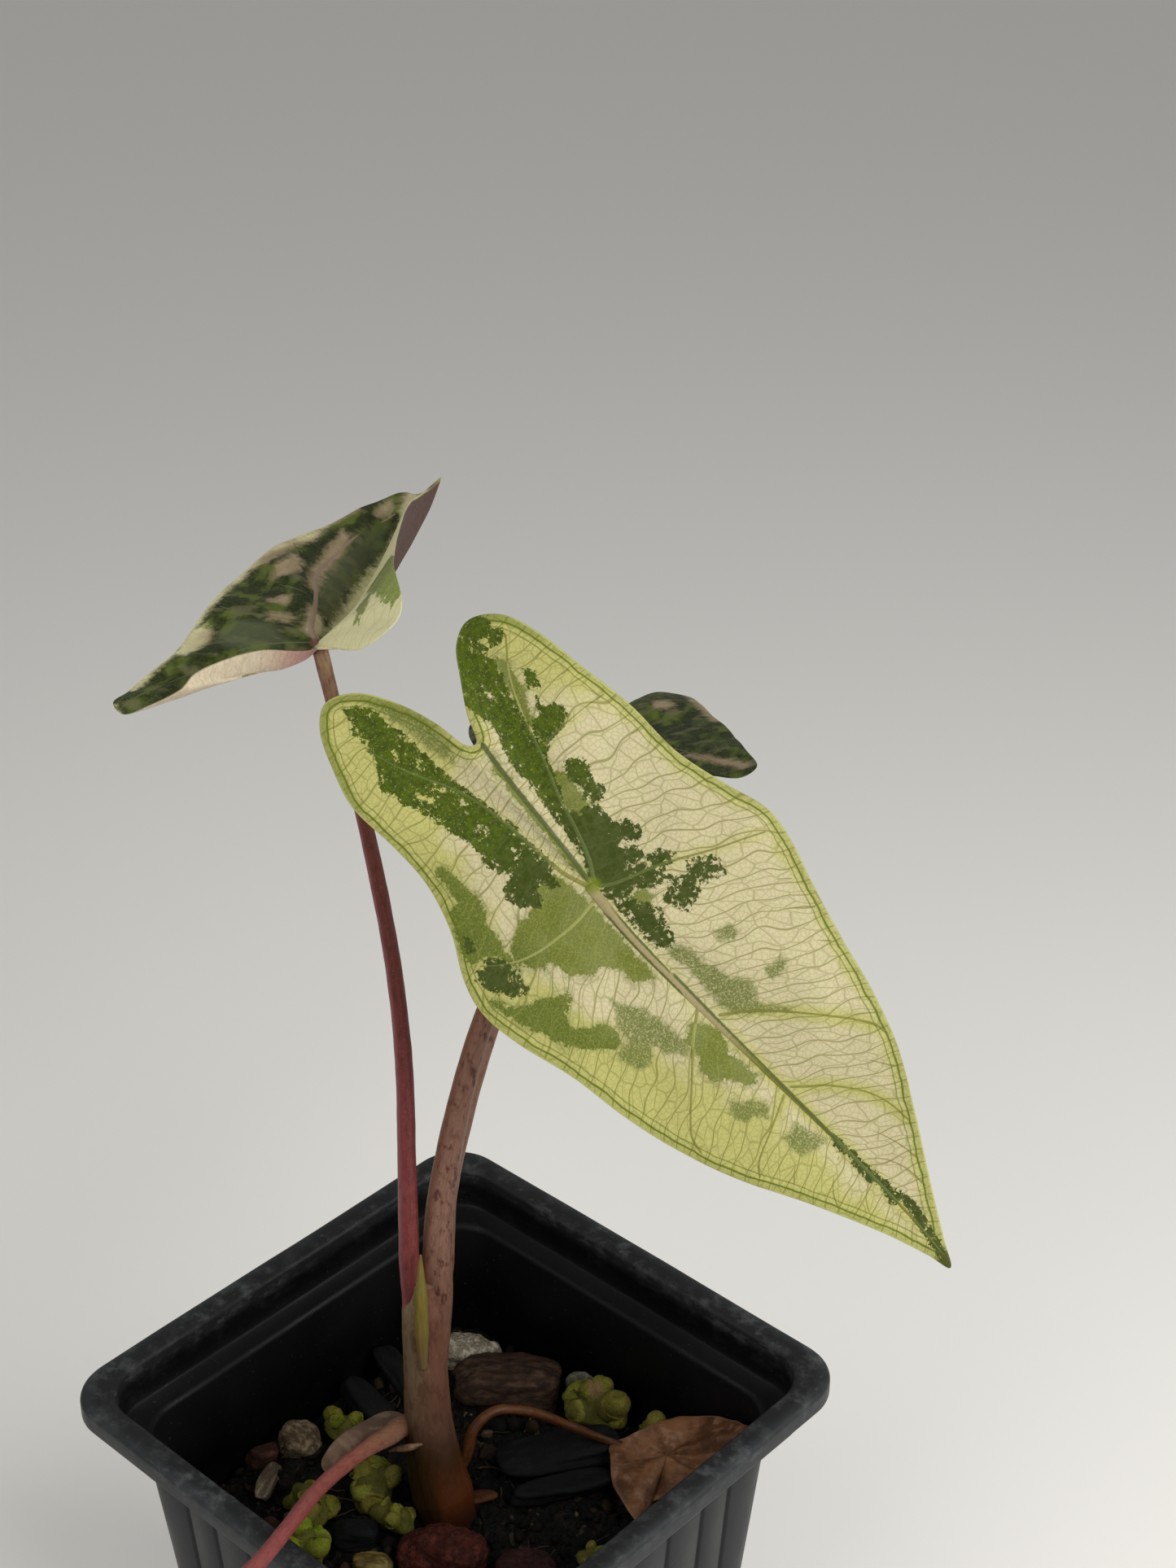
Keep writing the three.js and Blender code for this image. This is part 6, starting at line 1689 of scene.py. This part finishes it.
# A moss clump: thick curled lobes, each a short tube bent round on itself, set over a lumpy core. A
# lobe's path is its base plus sin b to one side and 1 less cos b outward, b being how far it curls.
def makeMoss(name, node, size, at, turn, seed, bright, lobes):
    random = np.random.default_rng(seed)

    def lobeSwell(points, share, out):
        return 0.16 * layeredNoise(points, 0.9, 2, seed)

    rows, columns = mossMesh["coreRows"], mossMesh["coreColumns"]
    core, _ = lumpGrid(np.array(size) * 0.82, 2.4, 0.12, seed, 0.35, (1, 1, 1), rows, columns)
    parts = [closedGrid(settle(core, at, turn))]
    # painted shade: half strength over the core
    roots = [np.full(len(parts[0][0]), 0.5)]
    tints = [np.full(len(parts[0][0]), bright * 0.6)]
    for k in range(lobes):
        high = 1 - 0.95 * (k + 0.5) / lobes
        low = math.sqrt(1 - high**2)
        around = k * goldenAngle + seed
        out = np.array([low * math.cos(around), low * math.sin(around), high])
        base = out * np.array(size) * 0.3
        side = unit(np.cross(out, random.normal(size=3)))
        lean = unit(np.cross(side, out))
        radius = random.uniform(1.5, 2.1) * min(size) / 5.5
        bendBy = np.linspace(0, random.uniform(1.4, 3.0), 7)
        curl = radius * random.uniform(0.6, 1.0)
        path = base + curl * (np.sin(bendBy)[:, None] * side + 0.7 * (1 - np.cos(bendBy))[:, None] * out)
        path = path - side * curl * 0.5 + lean * radius * 0.3
        tubeRadii = radius * np.array([0.45, 0.85, 1, 1, 0.9, 0.55]) * 0.85
        rings, sides = mossMesh["lobeRings"], mossMesh["lobeSides"]
        grid, fields = tubeGrid(path, tubeRadii, rings, sides, lobeSwell)
        parts.append(closedGrid(settle(grid, at, turn)))
        # painted shade at the lobe's base
        roots.append(withEnds(smoothStep(0.25, 0.0, fields["share"]) * 0.6))
        tints.append(np.full(len(parts[-1][0]), np.clip(bright + random.normal(0, 0.18), 0, 1)))
    points, faces = joined(parts)
    middle = np.linalg.norm((points - at)[:, :2], axis=1)
    pinkness = smoothStep(1.9, 0.9, middle) * (0.7 if name == "mossBackLarge" else 0.0)
    fields = {"root": np.concatenate(roots), "bright": np.concatenate(tints), "pinkness": pinkness}
    return makePiece(name, points, faces, mossSkin, [node], fields)


for mossName, mossSpec in mossClumps.items():
    makeMoss(mossName, *mossSpec)


# The rootstock lies inside the soil: a knobbly ball with five roots running out and down.
rootstock = {
    "at": (-0.5, -2.3, 49.4), "size": (11, 10, 14.4), "fork": 47,
    "ends": [(16, 6, 24), (-15, 12, 20), (4, -19, 18), (-13, -14, 28), (10, 17, 30)],
    "rootRadii": [1.8, 1.3, 0.9], "colours": {"brown": (120, 80, 46), "pale": (206, 170, 122)},
}


def makeRootstock():
    size, even = rootstock["size"], (1, 1, 1)
    local, _ = lumpGrid(size, squareness=2.2, rough=0.08, seed=4, relief=0.5, grain=even, columns=60)
    parts = [closedGrid(local + rootstock["at"])]
    for x, y, z in rootstock["ends"]:
        fork = (*rootstock["at"][:2], rootstock["fork"])
        path = [fork, (x * 0.4, y * 0.4, 43), (x * 0.8, y * 0.8, 35), (x, y, z)]
        grid, _ = tubeGrid(path, rootstock["rootRadii"], 50, 16, stalkSwell)
        parts.append(closedGrid(grid))
    points, faces = joined(parts)
    colour = tints(rootstock["colours"])
    g = Graph("rootSkin", roughness=0.8, specular=0.25)
    grain = g.noise(g.place(), 2.0, 5.0, 0.65)
    skin = g.mix(g.span(grain, 0.35, 0.65), colour["brown"], colour["pale"])
    g.bump(grain, 0.3, 0.7)
    makePiece("rootMass", points, faces, g.paint(skin), ["rootstock"])


makeRootstock()
print("soil and toppings are laid")


# Camera, floor and light

camera = {
    "focal": 3147 / 1927,  # over the frame's height
    "sensor": 0.036,
    "at": (0.2235, -0.2160, 0.3755),
    "elevation": 29.52, "azimuth": 42.2, "roll": 0.29,
}


# The camera looks along minus its own back axis, which elevation and azimuth give; roll turns the
# other two axes round it.
def makeCamera():
    data = bpy.data.cameras.new("camera")
    data.sensor_fit = "VERTICAL"
    data.sensor_height = camera["sensor"] * 1000
    data.lens = camera["focal"] * camera["sensor"] * 1000
    data.clip_end = 20
    eye = bpy.data.objects.new("camera", data)
    e, a, r = (math.radians(camera[key]) for key in ("elevation", "azimuth", "roll"))
    back = np.array([math.sin(a) * math.cos(e), -math.cos(a) * math.cos(e), math.sin(e)])
    right = unit(np.cross(-back, [0, 0, 1]))
    up = np.cross(right, -back)
    turned = right * math.cos(r) + up * math.sin(r), up * math.cos(r) - right * math.sin(r)
    matrix = np.eye(4)
    matrix[:3, :3] = np.stack([*turned, back], 1)
    matrix[:3, 3] = camera["at"]
    eye.matrix_world = matrix.T.tolist()
    bpy.context.scene.collection.objects.link(eye)
    bpy.context.scene.camera = eye


lights = {
    "key": {"at": (0.42, 0.08, 0.4), "size": 0.5, "power": 2.9, "colour": (1.0, 0.985, 0.95)},
    "front": {"at": (-0.02, -0.32, 0.38), "size": 0.4, "power": 0.8, "colour": (1.0, 0.985, 0.95)},
}
softLight = {"colour": (1.0, 0.99, 0.97, 1), "strength": 0.32, "aim": (0, 0, 0.12)}


# Square lamps turned to one aim above the pot, in an even pale world.
def makeLights():
    for name, spec in lights.items():
        data = bpy.data.lights.new(name, "AREA")
        data.size = spec["size"]
        data.energy = spec["power"]
        data.color = spec["colour"]
        lamp = bpy.data.objects.new(name, data)
        lamp.visible_camera = False
        back = unit(np.array(spec["at"]) - softLight["aim"])
        side = unit(np.cross([0, 0, 1], back))
        matrix = np.eye(4)
        matrix[:3, :3] = np.stack([side, np.cross(back, side), back], 1)
        matrix[:3, 3] = spec["at"]
        lamp.matrix_world = matrix.T.tolist()
        bpy.context.scene.collection.objects.link(lamp)
    world = bpy.data.worlds.new("softLight")
    world.use_nodes = True
    background = world.node_tree.nodes["Background"]
    background.inputs["Color"].default_value = softLight["colour"]
    background.inputs["Strength"].default_value = softLight["strength"]
    bpy.context.scene.world = world


paleFloor = {"reach": 6, "colour": (247, 246, 243)}


def makeFloor():
    g = Graph("paleFloor", roughness=0.7, specular=0.2)
    g.shader.inputs["Base Color"].default_value = tint(*paleFloor["colour"])
    mesh = bpy.data.meshes.new("floor")
    r = paleFloor["reach"]
    mesh.from_pydata([(-r, -r, 0), (r, -r, 0), (r, r, 0), (-r, r, 0)], [], [(0, 1, 2, 3)])
    mesh.materials.append(g.material)
    floor = bpy.data.objects.new("floor", mesh)
    bpy.context.scene.collection.objects.link(floor)


makeCamera()
makeLights()
makeFloor()
bpy.context.scene.view_settings.view_transform = "Standard"
print("camera, floor and light are set")
